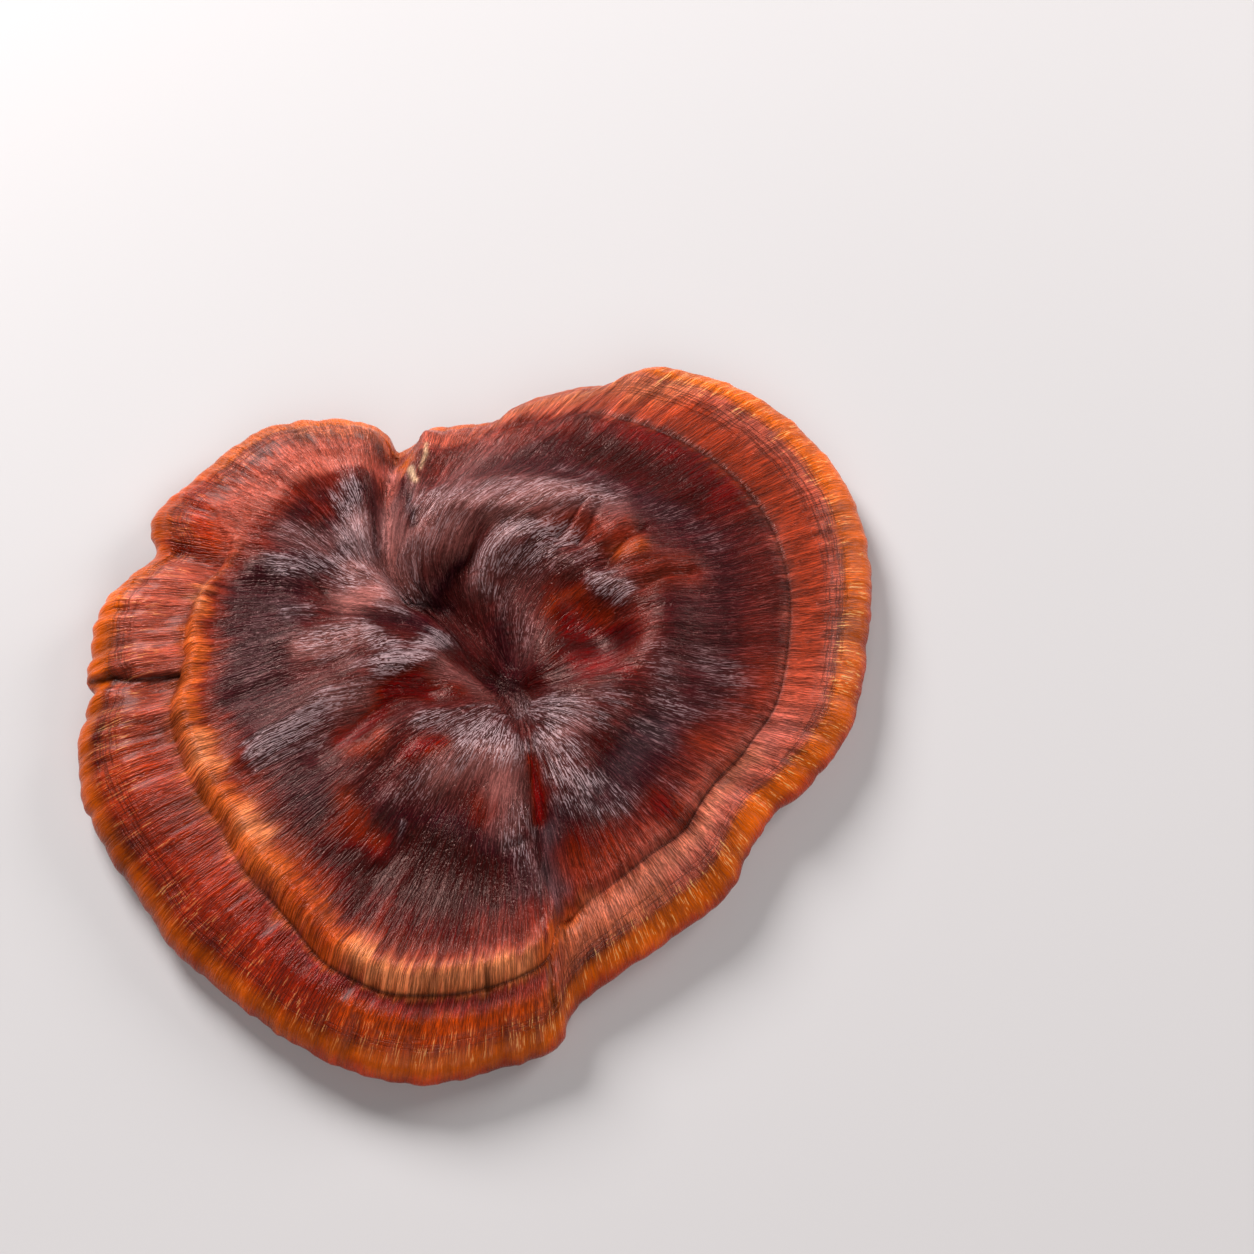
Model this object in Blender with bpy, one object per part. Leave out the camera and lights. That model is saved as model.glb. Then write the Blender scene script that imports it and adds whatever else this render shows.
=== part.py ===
"""A dried reishi cap: a broad woody fan with one deep notch, a lacquered ringed top, a rounded margin and a
flat-cut stem base beneath. Lengths in the tables are in millimetres, +Z is up, and the cap lies on its underside."""

import math

import bmesh
import bpy
import numpy as np

MM = 0.001

# Mesh: columns run round the cap and rows run from the top pole over the margin to the bottom pole.
COLUMNS = 124
NOTCH_CROWDING = 0.25
SMOOTH_ANGLE = 50.0

# Plan of the margin at its widest, anticlockwise from the notch.
MARGIN = (
    (-18.6, 59.8), (-21.2, 63.4), (-26.3, 66.0), (-34.0, 67.4), (-46.0, 66.3), (-54.6, 61.3), (-64.1, 51.7),
    (-69.6, 46.3), (-71.5, 41.3), (-70.1, 34.6), (-76.3, 27.0), (-81.0, 17.4), (-81.5, 5.0), (-80.0, 1.2),
    (-81.4, -4.0), (-82.4, -15.0), (-78.6, -26.3), (-73.3, -36.0), (-67.0, -44.3), (-60.3, -54.2),
    (-51.0, -62.3), (-40.6, -70.9), (-31.2, -76.7), (-20.0, -81.2), (-8.0, -83.0), (5.0, -80.2), (16.6, -75.4),
    (20.6, -67.4), (29.3, -60.0), (41.2, -51.5), (50.9, -43.4), (56.4, -32.3), (60.4, -26.0), (68.4, -18.9),
    (76.6, -6.9), (80.5, 9.0), (82.5, 30.0), (79.9, 46.7), (72.3, 61.2), (59.6, 73.0), (44.0, 80.0),
    (35.0, 80.0), (28.3, 76.5), (19.0, 75.0), (9.8, 71.6), (3.3, 67.0), (-2.6, 66.0), (-10.8, 64.7),
    (-15.0, 60.9),
)

# The crease that the growth rings spread from: its head lies behind the notch and its foot is the central pit.
CREASE_HEAD = (-19.0, 27.0)
CREASE_FOOT = (7.8, -1.1)
TO_FOOT = (0.11, 0.385)
TO_HEAD = (0.62, 0.945)
POLE = (-5.6, 13.0)
POLE_SHARE = 0.06

# The growth step: way round, share of the way out, depth of the step, and height of the ridge inside it.
STEP_RING = 0.80
STEP = (
    (0.000, 0.79, 0.4, 0.0), (0.120, 0.76, 0.5, 0.0), (0.145, 0.70, 0.8, 0.6), (0.170, 0.695, 1.3, 1.0),
    (0.215, 0.755, 1.6, 1.3), (0.250, 0.770, 1.8, 1.4), (0.300, 0.785, 2.0, 1.6), (0.340, 0.805, 2.2, 1.8),
    (0.365, 0.825, 2.3, 1.9), (0.385, 0.855, 2.4, 2.0), (0.420, 0.862, 2.4, 2.0), (0.440, 0.842, 2.4, 2.0),
    (0.470, 0.848, 2.2, 1.8), (0.495, 0.835, 1.7, 1.2), (0.510, 0.790, 1.0, 0.5), (0.535, 0.825, 0.7, 0.1),
    (0.570, 0.805, 0.6, 0.0), (0.620, 0.845, 0.7, 0.0), (0.650, 0.810, 0.6, 0.0), (0.720, 0.815, 0.6, 0.0),
    (0.780, 0.790, 0.6, 0.0), (0.840, 0.755, 0.5, 0.0), (0.875, 0.735, 0.4, 0.0), (1.000, 0.79, 0.4, 0.0),
)

# Growth rings that carry the rows of the top, as shares of the way out, and its height along them.
RINGS = (
    0.030, 0.060, 0.095, 0.130, 0.170, 0.210, 0.250, 0.295, 0.340, 0.385, 0.430, 0.480, 0.530, 0.580,
    0.630, 0.680, 0.725, 0.755, 0.780, 0.800, 0.820, 0.850, 0.885, 0.920, 0.955,
)
TOP_PROFILE = (
    (0.00, 11.5), (0.06, 12.8), (0.12, 14.4), (0.25, 16.6), (0.42, 17.6), (0.60, 17.0), (0.70, 16.0),
    (0.80, 14.6), (0.87, 13.0), (0.94, 11.4), (1.00, 9.4),
)

# Section of the margin from the top edge round to the pore face: distance in from the widest line, and height.
RIM_SECTION = ((3.2, 9.0), (1.5, 7.8), (0.4, 6.2), (0.0, 4.4), (0.5, 2.5), (1.8, 0.9), (4.2, 0.0))
RIM_LIFT = (
    (0.00, 2.6), (0.06, 1.2), (0.11, 0.0), (0.17, 1.2), (0.24, 0.6), (0.31, 0.0), (0.38, 0.7), (0.44, 0.9),
    (0.50, 0.0), (0.545, 1.0), (0.62, 1.5), (0.70, 0.3), (0.76, 0.0), (0.84, 1.4), (0.90, 2.0), (1.00, 2.6),
)

# Underside: the hollow pore face, then the stem base, cut off flat.
STEM_CENTRE = (-4.0, 11.0)
STEM_RADII = (13.0, 10.0)
STEM_TURN = math.radians(-40.0)
PORE_PROFILE = ((0.00, 3.4), (0.45, 3.2), (0.80, 2.2), (1.00, 0.0))
PORE_SHARES = (0.92, 0.76, 0.58, 0.40)
STEM_FLARE = ((1.45, 3.2), (1.15, 1.7), (1.00, 0.0))
STEM_INNER = 0.55

# Local forms of the top: height, half-width and course of each swelling or hollow.
FORMS = {
    "seam_valley": (-4.4, 2.6, ((-18.4, 62.0), (-20.5, 50.0), (-20.8, 38.0), (-19.0, 29.0), (-15.0, 22.0))),
    "seam_left_lip": (1.4, 3.4, ((-25.0, 60.0), (-26.0, 46.0), (-26.0, 34.0))),
    "seam_right_lip": (2.4, 3.2, ((-12.5, 58.0), (-14.4, 46.0), (-14.4, 36.0), (-13.0, 30.0))),
    "swirl_crest": (5.8, 7.0, ((-12.0, 31.0), (-6.0, 37.0), (4.0, 40.0), (13.0, 41.0), (21.0, 39.0))),
    "swirl_shoulder": (3.8, 7.5, ((31.0, 32.0), (38.0, 22.0), (39.0, 12.0), (34.0, 2.0), (26.0, -5.0))),
    "swirl_roll": (2.8, 5.0, ((3.0, 29.0), (11.0, 30.0), (18.0, 26.0))),
    "swirl_bump": (1.6, 5.0, ((27.0, 21.0), (29.0, 20.0))),
    "dark_pocket": (-5.0, 3.9, ((-11.0, 24.0), (-7.0, 29.0), (-4.0, 30.0))),
    "dark_slope": (-3.8, 5.0, ((-8.0, 21.0), (-2.0, 15.0), (4.0, 8.0))),
    "red_bowl": (-2.6, 7.5, ((20.0, 14.0), (25.0, 8.0))),
    "foot_pit": (-3.2, 4.0, ((4.0, 3.0), (8.0, -2.0))),
    "foot_crease": (-3.2, 2.8, ((8.0, -2.0), (10.5, -12.0), (12.5, -27.0), (15.0, -37.0), (19.0, -49.0))),
    "foot_lip": (1.6, 5.0, ((17.0, -8.0), (20.0, -22.0), (21.0, -36.0))),
    "near_hump": (2.6, 7.0, ((-18.0, -14.0), (-8.0, -15.0), (4.0, -16.0))),
    "near_bowl": (-3.0, 13.0, ((-14.0, -40.0), (0.0, -42.0), (4.0, -42.0))),
    "west_ridge": (1.4, 5.5, ((-18.0, 6.0), (-30.0, -4.0), (-42.0, -13.0))),
    "west_hollow": (-1.5, 5.0, ((-12.0, -1.0), (-22.0, -9.0))),
    "west_crease": (-1.2, 3.6, ((-30.0, 22.0), (-40.0, 20.0), (-50.0, 21.0))),
    "lobe_hollow": (-2.4, 8.0, ((-30.0, 40.0), (-32.0, 30.0))),
    "corner_hollow": (-2.6, 3.6, ((-71.0, 35.5), (-62.0, 31.0), (-54.0, 27.0))),
    "side_crack": (-1.4, 2.0, ((-80.0, 1.6), (-70.0, 0.2), (-61.0, -0.4))),
    "fault": (-1.6, 2.2, ((19.0, -51.0), (17.5, -60.0), (20.0, -67.0))),
    "right_fold": (-1.6, 3.6, ((60.0, -25.0), (52.0, -21.0))),
}


def ease(low, high, value):
    """Smooth rise from 0 at low to 1 at high."""
    share = np.clip((value - low) / (high - low), 0.0, 1.0)
    return share * share * (3.0 - 2.0 * share)


def table(rows, column, value):
    """One column of a table, read at value along its first column, with rounded corners."""
    rows = np.array(rows, float)
    spread = np.linspace(-1.0, 1.0, 5) * 0.35 * np.diff(rows[:, 0]).min()
    return np.mean([np.interp(value + shift, rows[:, 0], rows[:, column]) for shift in spread], axis=0)


def smooth_loop(points, steps=40):
    """A smooth closed curve through the points, with the share of its length reached at each sample."""
    here = np.array(points, float)
    back, ahead, beyond = np.roll(here, 1, 0), np.roll(here, -1, 0), np.roll(here, -2, 0)
    step = (np.arange(steps) / steps)[None, :, None]
    back, here, ahead, beyond = back[:, None], here[:, None], ahead[:, None], beyond[:, None]
    bend = (2 * back - 5 * here + 4 * ahead - beyond) * step**2 + (3 * here - back - 3 * ahead + beyond) * step**3
    curve = (0.5 * (2 * here + (ahead - back) * step + bend)).reshape(-1, 2)
    curve = np.vstack([curve, curve[:1]])
    length = np.concatenate([[0.0], np.cumsum(np.linalg.norm(np.diff(curve, axis=0), axis=1))])
    return curve, length / length[-1]


MARGIN_LINE = smooth_loop(MARGIN)


def margin_point(way):
    """The widest line of the cap at a share of the way round."""
    curve, length = MARGIN_LINE
    return np.stack([np.interp(way, length, curve[:, axis]) for axis in (0, 1)], axis=-1)


def core_point(way):
    """Where the growth lines of this side start: the head of the crease, its foot, or between them."""
    share = ease(*TO_FOOT, way) - ease(*TO_HEAD, way)
    head, foot = np.array(CREASE_HEAD), np.array(CREASE_FOOT)
    return head + (foot - head) * share[:, None]


def outward(way):
    """Distance and direction from the core to the widest line."""
    reach = margin_point(way) - core_point(way)
    distance = np.linalg.norm(reach, axis=1, keepdims=True)
    return distance, reach / distance


def ring_share(way, ring):
    """Share of the way out of a growth ring, which bends to follow the growth step."""
    pull = np.where(ring < STEP_RING, ring / STEP_RING, (1.0 - ring) / (1.0 - STEP_RING))
    return ring + (table(STEP, 1, way) - STEP_RING) * np.clip(pull, 0.0, 1.0) ** 1.5


def distance_to(points, course):
    """Distance of each point from a course of straight legs."""
    nearest = np.full(len(points), np.inf)
    for start, end in zip(np.array(course, float)[:-1], np.array(course, float)[1:]):
        leg = end - start
        share = np.clip((points - start) @ leg / (leg @ leg), 0.0, 1.0)
        gap = np.linalg.norm(points - start - share[:, None] * leg, axis=1)
        nearest = np.minimum(nearest, gap)
    return nearest


def local_forms(points):
    """Sum of the swellings and hollows at each point of the plan."""
    total = np.zeros(len(points))
    for height, width, course in FORMS.values():
        total += height * np.exp(-((distance_to(points, course) / width) ** 2))
    return total


def top_surface(way, ring):
    """The lacquered top, from the pole at ring 0 to the start of the rounded margin at ring 1."""
    distance, direction = outward(way)
    out = ring_share(way, ring)
    reach = (distance - RIM_SECTION[0][0]) * out[:, None]
    plan = core_point(way) + direction * reach
    near_pole = np.clip(ring / POLE_SHARE, 0.0, 1.0)[:, None]
    plan = np.array(POLE) + (plan - np.array(POLE)) * near_pole
    step, ridge = table(STEP, 2, way), table(STEP, 3, way)
    height = table(TOP_PROFILE, 1, ring)
    height -= step * (ease(STEP_RING - 0.030, STEP_RING + 0.002, ring) - ease(STEP_RING, STEP_RING + 0.12, ring))
    height += ridge * np.exp(-(((ring - STEP_RING + 0.045) / 0.035) ** 2))
    height += local_forms(plan) * (1.0 - ease(0.93, 1.0, ring) * 0.6)
    height += table(RIM_LIFT, 1, way) * ease(0.5, 1.0, ring)
    return np.column_stack([plan, height])


def rim_surface(way, index):
    """One row of the rounded margin."""
    _, direction = outward(way)
    inset, height = RIM_SECTION[index]
    plan = margin_point(way) - direction * inset
    lift = table(RIM_LIFT, 1, way)
    dip = local_forms(plan) * 0.4 * (1.0 - index / (len(RIM_SECTION) - 1))
    return np.column_stack([plan, height + lift + dip])


def stem_edge(way):
    """The oval edge of the stem base, met in the same direction as the margin."""
    reach = margin_point(way) - np.array(STEM_CENTRE)
    angle = np.arctan2(reach[:, 1], reach[:, 0]) - STEM_TURN
    radius = 1.0 / np.hypot(np.cos(angle) / STEM_RADII[0], np.sin(angle) / STEM_RADII[1])
    return radius[:, None] * reach / np.linalg.norm(reach, axis=1, keepdims=True)


def pore_surface(way, share):
    """One row of the hollow pore face, between the stem base and the margin."""
    _, direction = outward(way)
    lip = margin_point(way) - direction * RIM_SECTION[-1][0]
    inner = np.array(STEM_CENTRE) + stem_edge(way) * STEM_FLARE[0][0]
    plan = inner + (lip - inner) * share
    height = table(PORE_PROFILE, 1, np.full(len(way), share)) + table(RIM_LIFT, 1, way) * share**2
    return np.column_stack([plan, height])


def stem_surface(way, factor, height):
    """One row of the flared stem base, or of its flat cut."""
    plan = np.array(STEM_CENTRE) + stem_edge(way) * factor
    return np.column_stack([plan, np.full(len(way), height)])


def rows_of(way):
    """Every row of the body between its poles, from the top of the cap to the cut of the stem."""
    rows = [top_surface(way, np.full(len(way), ring)) for ring in RINGS]
    rows += [rim_surface(way, index) for index in range(len(RIM_SECTION))]
    rows += [pore_surface(way, share) for share in PORE_SHARES]
    rows += [stem_surface(way, factor, height) for factor, height in STEM_FLARE]
    rows.append(stem_surface(way, STEM_INNER, 0.0))
    return rows


def material(name, color, roughness):
    """A plain Principled material in one colour."""
    made = bpy.data.materials.new(name)
    made.use_nodes = True
    shader = made.node_tree.nodes["Principled BSDF"]
    shader.inputs["Base Color"].default_value = (*color, 1.0)
    shader.inputs["Roughness"].default_value = roughness
    return made


def clear_scene():
    """Remove every object that the startup scene holds."""
    for item in list(bpy.data.objects):
        bpy.data.objects.remove(item)


def build_cap():
    """The whole cap as one closed body on the grid of a sphere."""
    turn = np.arange(COLUMNS) / COLUMNS
    way = turn - NOTCH_CROWDING * np.sin(2.0 * math.pi * turn) / (2.0 * math.pi)
    rows = rows_of(way)
    poles = [top_surface(way[:1], np.zeros(1))[0], np.array([*STEM_CENTRE, 0.0])]
    edge = np.vstack(rows)[:, :2]
    middle = np.array([*(edge.min(axis=0) + edge.max(axis=0)) / 2.0, 0.0])
    mesh = bpy.data.meshes.new("cap")
    body = bmesh.new()
    bmesh.ops.create_uvsphere(body, u_segments=COLUMNS, v_segments=len(rows) + 1, radius=1.0)
    for vertex in body.verts:
        row = round(math.acos(max(-1.0, min(1.0, vertex.co.z))) / math.pi * (len(rows) + 1))
        column = round(math.atan2(vertex.co.y, vertex.co.x) / (2.0 * math.pi) * COLUMNS) % COLUMNS
        if row == 0:
            place = poles[0]
        elif row == len(rows) + 1:
            place = poles[1]
        else:
            place = rows[row - 1][column]
        vertex.co = (place - middle) * MM
    body.normal_update()
    body.to_mesh(mesh)
    body.free()
    mesh.shade_smooth()
    mesh.set_sharp_from_angle(angle=math.radians(SMOOTH_ANGLE))
    return bpy.data.objects.new("cap", mesh)


def main():
    clear_scene()
    group = bpy.data.collections.new("reishi_mushroom")
    bpy.context.scene.collection.children.link(group)
    cap = build_cap()
    cap.data.materials.append(material("lacquered_cap", (0.25, 0.05, 0.02), 0.4))
    group.objects.link(cap)


main()
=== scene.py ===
"""A dried reishi cap: a broad woody fan with one deep notch, a lacquered top that grew in rings and strands,
a rounded amber margin, and a pale pore face with a flat-cut stem base beneath. Lengths in the tables are in
millimetres; "way" is the share of the way round from the notch, and "ring" the share of the way out."""

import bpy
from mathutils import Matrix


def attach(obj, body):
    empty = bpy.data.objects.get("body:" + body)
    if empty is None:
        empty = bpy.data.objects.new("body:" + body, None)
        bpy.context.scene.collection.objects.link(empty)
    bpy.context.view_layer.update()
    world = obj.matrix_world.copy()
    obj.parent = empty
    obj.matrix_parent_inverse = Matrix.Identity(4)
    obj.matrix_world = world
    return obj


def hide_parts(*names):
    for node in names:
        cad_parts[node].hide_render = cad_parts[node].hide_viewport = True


bl_info = {
    "name": "Reishi Cap",
    "version": (1, 0, 0),
    "blender": (4, 5, 0),
    "location": "View3D > Sidebar > Reishi",
    "description": "Adds a dried reishi cap with a lacquered, ringed top, and a studio stage around it",
    "category": "Add Mesh",
}

import math

import bpy
import numpy as np

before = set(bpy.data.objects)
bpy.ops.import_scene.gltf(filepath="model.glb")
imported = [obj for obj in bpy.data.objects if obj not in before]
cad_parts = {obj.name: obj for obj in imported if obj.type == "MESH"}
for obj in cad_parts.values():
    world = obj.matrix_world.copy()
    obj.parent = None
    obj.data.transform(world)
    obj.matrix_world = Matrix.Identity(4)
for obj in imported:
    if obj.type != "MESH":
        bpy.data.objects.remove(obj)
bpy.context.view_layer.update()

MM = 0.001

# ---------------------------------------------------------------- growth of the cap

# Columns of the mesh round the cap, and how far they crowd towards the notch.
COLUMNS = 720
NOTCH_CROWDING = 0.25
# The middle of the outline, which comes to lie at the origin.
CENTRE_OF_PLAN = (0.0341, -1.1471)

# The margin in plan, from the notch round by the left.
MARGIN = (
    (-18.6, 59.8), (-21.2, 63.4), (-26.3, 66.0), (-34.0, 67.4), (-46.0, 66.3), (-54.6, 61.3), (-64.1, 51.7),
    (-69.6, 46.3), (-71.5, 41.3), (-70.1, 34.6), (-76.3, 27.0), (-81.0, 17.4), (-81.5, 5.0), (-80.0, 1.2),
    (-81.4, -4.0), (-82.4, -15.0), (-78.6, -26.3), (-73.3, -36.0), (-67.0, -44.3), (-60.3, -54.2),
    (-51.0, -62.3), (-40.6, -70.9), (-31.2, -76.7), (-20.0, -81.2), (-8.0, -83.0), (5.0, -80.2), (16.6, -75.4),
    (20.6, -67.4), (29.3, -60.0), (41.2, -51.5), (50.9, -43.4), (56.4, -32.3), (60.4, -26.0), (68.4, -18.9),
    (76.6, -6.9), (80.5, 9.0), (82.5, 30.0), (79.9, 46.7), (72.3, 61.2), (59.6, 73.0), (44.0, 80.0),
    (35.0, 80.0), (28.3, 76.5), (19.0, 75.0), (9.8, 71.6), (3.3, 67.0), (-2.6, 66.0), (-10.8, 64.7),
    (-15.0, 60.9),
)
# The rings grow out of a point that moves along the crease, from its head to its foot over the first run of
# ways and back over the second. Within POLE_SHARE they close on the pole.
CREASE_HEAD = (-19.0, 27.0)
CREASE_FOOT = (7.8, -1.1)
TO_FOOT = (0.11, 0.385)
TO_HEAD = (0.62, 0.945)
POLE = (-5.6, 13.0)
POLE_SHARE = 0.06

# The growth step lies at STEP_RING. It falls over STEP_FALL, the top is back on its profile after STEP_RETURN,
# and a ridge runs inside it. The table holds way, share of the way out, drop, and height of the ridge.
STEP_RING = 0.80
STEP_FALL = (-0.030, 0.002)
STEP_RETURN = 0.12
RIDGE_PLACE = 0.045
RIDGE_WIDTH = 0.035
STEP = (
    (0.000, 0.79, 0.4, 0.0), (0.120, 0.76, 0.5, 0.0), (0.145, 0.70, 0.8, 0.6), (0.170, 0.695, 1.3, 1.0),
    (0.215, 0.755, 1.6, 1.3), (0.250, 0.770, 1.8, 1.4), (0.300, 0.785, 2.0, 1.6), (0.340, 0.805, 2.2, 1.8),
    (0.365, 0.825, 2.3, 1.9), (0.385, 0.855, 2.4, 2.0), (0.420, 0.862, 2.4, 2.0), (0.440, 0.842, 2.4, 2.0),
    (0.470, 0.848, 2.2, 1.8), (0.495, 0.835, 1.7, 1.2), (0.510, 0.790, 1.0, 0.5), (0.535, 0.825, 0.7, 0.1),
    (0.570, 0.805, 0.6, 0.0), (0.620, 0.845, 0.7, 0.0), (0.650, 0.810, 0.6, 0.0), (0.720, 0.815, 0.6, 0.0),
    (0.780, 0.790, 0.6, 0.0), (0.840, 0.755, 0.5, 0.0), (0.875, 0.735, 0.4, 0.0), (1.000, 0.79, 0.4, 0.0),
)
# Height of the top by ring.
TOP_PROFILE = (
    (0.00, 11.5), (0.06, 12.8), (0.12, 14.4), (0.25, 16.6), (0.42, 17.6), (0.60, 17.0), (0.70, 16.0),
    (0.80, 14.6), (0.87, 13.0), (0.94, 11.4), (1.00, 9.4),
)
# Section of the rounded margin, as inset and height from its top edge to the pore face; the points before and
# after it, which give its slope at the ends; and the ring at which it ends.
RIM_SECTION = ((3.2, 9.0), (1.5, 7.8), (0.4, 6.2), (0.0, 4.4), (0.5, 2.5), (1.8, 0.9), (4.2, 0.0))
RIM_RUN_IN = (6.4, 10.6)
RIM_RUN_OUT = (7.6, 0.4)
RIM_END = 1.165
# How far the margin is lifted off the floor, by way.
RIM_LIFT = (
    (0.00, 2.6), (0.06, 1.2), (0.11, 0.0), (0.17, 1.2), (0.24, 0.6), (0.31, 0.0), (0.38, 0.7), (0.44, 0.9),
    (0.50, 0.0), (0.545, 1.0), (0.62, 1.5), (0.70, 0.3), (0.76, 0.0), (0.84, 1.4), (0.90, 2.0), (1.00, 2.6),
)
STEM_CENTRE = (-4.0, 11.0)
STEM_RADII = (13.0, 10.0)
STEM_TURN = math.radians(-40.0)
# The pore face: its height by share of the way out, the shares at which it has rows, and how many of the stem's
# radii out it starts.
PORE_PROFILE = ((0.00, 3.4), (0.45, 3.2), (0.80, 2.2), (1.00, 0.0))
PORE_SHARES = (0.95, 0.88, 0.78, 0.66, 0.52, 0.38, 0.24, 0.10, 0.0)
PORE_START = 1.45
# Rows of the stem base: share of its radii, and height.
STEM_ROWS = ((1.28, 2.5), (1.15, 1.6), (1.06, 0.7), (1.00, 0.0), (0.55, 0.0))

# Main forms of the top: height, width, and course in plan.
FORMS = {
    "seam_valley": (-4.4, 2.6, ((-18.4, 62.0), (-20.5, 50.0), (-20.8, 38.0), (-19.0, 29.0), (-15.0, 22.0))),
    "seam_left_lip": (1.4, 3.4, ((-25.0, 60.0), (-26.0, 46.0), (-26.0, 34.0))),
    "seam_right_lip": (2.4, 3.2, ((-12.5, 58.0), (-14.4, 46.0), (-14.4, 36.0), (-13.0, 30.0))),
    "swirl_crest": (5.8, 7.0, ((-12.0, 31.0), (-6.0, 37.0), (4.0, 40.0), (13.0, 41.0), (21.0, 39.0))),
    "swirl_shoulder": (3.8, 7.5, ((31.0, 32.0), (38.0, 22.0), (39.0, 12.0), (34.0, 2.0), (26.0, -5.0))),
    "swirl_roll": (2.8, 5.0, ((3.0, 29.0), (11.0, 30.0), (18.0, 26.0))),
    "swirl_bump": (1.6, 5.0, ((27.0, 21.0), (29.0, 20.0))),
    "dark_pocket": (-5.0, 3.9, ((-11.0, 24.0), (-7.0, 29.0), (-4.0, 30.0))),
    "dark_slope": (-3.8, 5.0, ((-8.0, 21.0), (-2.0, 15.0), (4.0, 8.0))),
    "red_bowl": (-2.6, 7.5, ((20.0, 14.0), (25.0, 8.0))),
    "foot_pit": (-3.2, 4.0, ((4.0, 3.0), (8.0, -2.0))),
    "foot_crease": (-3.2, 2.8, ((8.0, -2.0), (10.5, -12.0), (12.5, -27.0), (15.0, -37.0), (19.0, -49.0))),
    "foot_lip": (1.6, 5.0, ((17.0, -8.0), (20.0, -22.0), (21.0, -36.0))),
    "near_hump": (2.6, 7.0, ((-18.0, -14.0), (-8.0, -15.0), (4.0, -16.0))),
    "near_bowl": (-3.0, 13.0, ((-14.0, -40.0), (0.0, -42.0), (4.0, -42.0))),
    "west_ridge": (1.4, 5.5, ((-18.0, 6.0), (-30.0, -4.0), (-42.0, -13.0))),
    "west_hollow": (-1.5, 5.0, ((-12.0, -1.0), (-22.0, -9.0))),
    "west_crease": (-1.2, 3.6, ((-30.0, 22.0), (-40.0, 20.0), (-50.0, 21.0))),
    "lobe_hollow": (-2.4, 8.0, ((-30.0, 40.0), (-32.0, 30.0))),
    "corner_hollow": (-2.6, 3.6, ((-71.0, 35.5), (-62.0, 31.0), (-54.0, 27.0))),
    "side_crack": (-1.4, 2.0, ((-80.0, 1.6), (-70.0, 0.2), (-61.0, -0.4))),
    "fault": (-1.6, 2.2, ((19.0, -51.0), (17.5, -60.0), (20.0, -67.0))),
    "right_fold": (-1.6, 3.6, ((60.0, -25.0), (52.0, -21.0))),
}

# Rows of the top: runs of rings, closer where the growth step and the woven margin need it.
RING_RUNS = (
    (0.015, 0.06, 4), (0.06, 0.70, 58), (0.70, 0.78, 10), (0.78, 0.82, 10), (0.82, 0.90, 9), (0.90, 0.99, 14),
)
RIM_ROWS = 16
# The ring coordinate goes on past the margin: over PORE_RINGS of pore face, and then over the stem base, whose
# cut edge lies at STEM_RING and whose radii make up STEM_RINGS. Faces beyond CUT_RING are stem, and those beyond
# RIM_END, less a little slack, are pore face.
PORE_RINGS = 0.6
STEM_RING = 1.9
STEM_RINGS = 0.1
CUT_RING = 1.845
RING_SLACK = 0.005

# How far the strands of the outer zone lean as they run outward.
LEAN = (
    (0.00, 0.00), (0.06, 0.00), (0.13, -0.03), (0.17, -0.03), (0.22, -0.02), (0.30, 0.00), (0.60, 0.00),
    (0.66, 0.01), (0.74, 0.02), (0.82, 0.03), (0.90, 0.03), (0.96, 0.02), (1.00, 0.00),
)
# The strands of the middle leave the pit and curl over the crest of the whorl, along these courses in plan.
# Outside the loop they run straight.
PIT = (6.2, 3.8)
LOOP_RING = 0.66
INNER_LOOP_RING = 0.60
LOOP_SAMPLES = 40
STRANDS = (
    ((5.6, 2.5), (1.3, 9.8), (-3.7, 18.0), (-7.2, 23.9), (-7.8, 29.5), (-5.4, 34.3), (-0.4, 38.2), (7.9, 42.6),
     (16.4, 46.5)),
    ((6.2, 3.1), (2.8, 9.2), (0.1, 17.0), (-0.9, 23.4), (0.2, 29.4), (3.9, 33.7), (10.2, 37.1), (17.5, 40.3),
     (24.9, 44.5)),
    ((7.1, 3.1), (4.4, 9.9), (3.1, 16.4), (5.2, 22.1), (10.4, 27.4), (18.7, 31.7), (27.1, 36.5), (34.5, 41.4)),
    ((8.3, 3.8), (7.3, 9.9), (8.0, 16.9), (11.5, 22.8), (18.7, 27.4), (29.2, 31.7), (39.7, 36.5)),
    ((9.9, 3.0), (11.0, 9.2), (13.6, 16.3), (18.8, 21.7), (27.1, 25.8), (37.6, 29.4), (47.1, 32.3)),
    ((12.7, 2.8), (17.8, 7.4), (25.1, 10.9), (33.4, 13.7), (45.8, 15.6)),
    ((12.8, -0.7), (21.0, 1.2), (29.2, 3.5), (37.5, 4.4), (48.8, 4.4)),
    ((12.8, -4.1), (21.0, -5.7), (30.3, -8.0), (41.5, -11.0)),
    ((-15.9, 27.2), (-14.4, 33.0), (-11.7, 39.8), (-8.9, 46.1), (-6.6, 53.3)),
    ((-10.4, 30.2), (-6.8, 36.2), (-1.5, 41.0), (3.8, 46.4), (6.3, 53.3), (7.4, 58.8)),
    ((4.0, 39.8), (11.3, 44.7), (14.8, 50.4), (16.8, 57.1)),
    ((20.8, 44.0), (26.2, 50.4), (29.6, 56.8)),
    ((33.4, 42.2), (40.2, 48.6), (46.2, 54.1)),
    ((2.5, 2.1), (-3.5, 7.4), (-9.1, 10.9), (-16.4, 10.9), (-25.6, 7.4)),
    ((-12.8, 18.4), (-18.3, 19.8), (-25.0, 20.3)),
    ((3.0, -1.7), (-5.6, -1.7), (-14.7, -4.4), (-24.7, -9.7)),
    ((4.7, -4.0), (-2.3, -8.1), (-10.3, -14.2), (-18.1, -23.1)),
    ((6.4, -6.3), (4.9, -14.2), (1.1, -24.2)),
)
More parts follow.
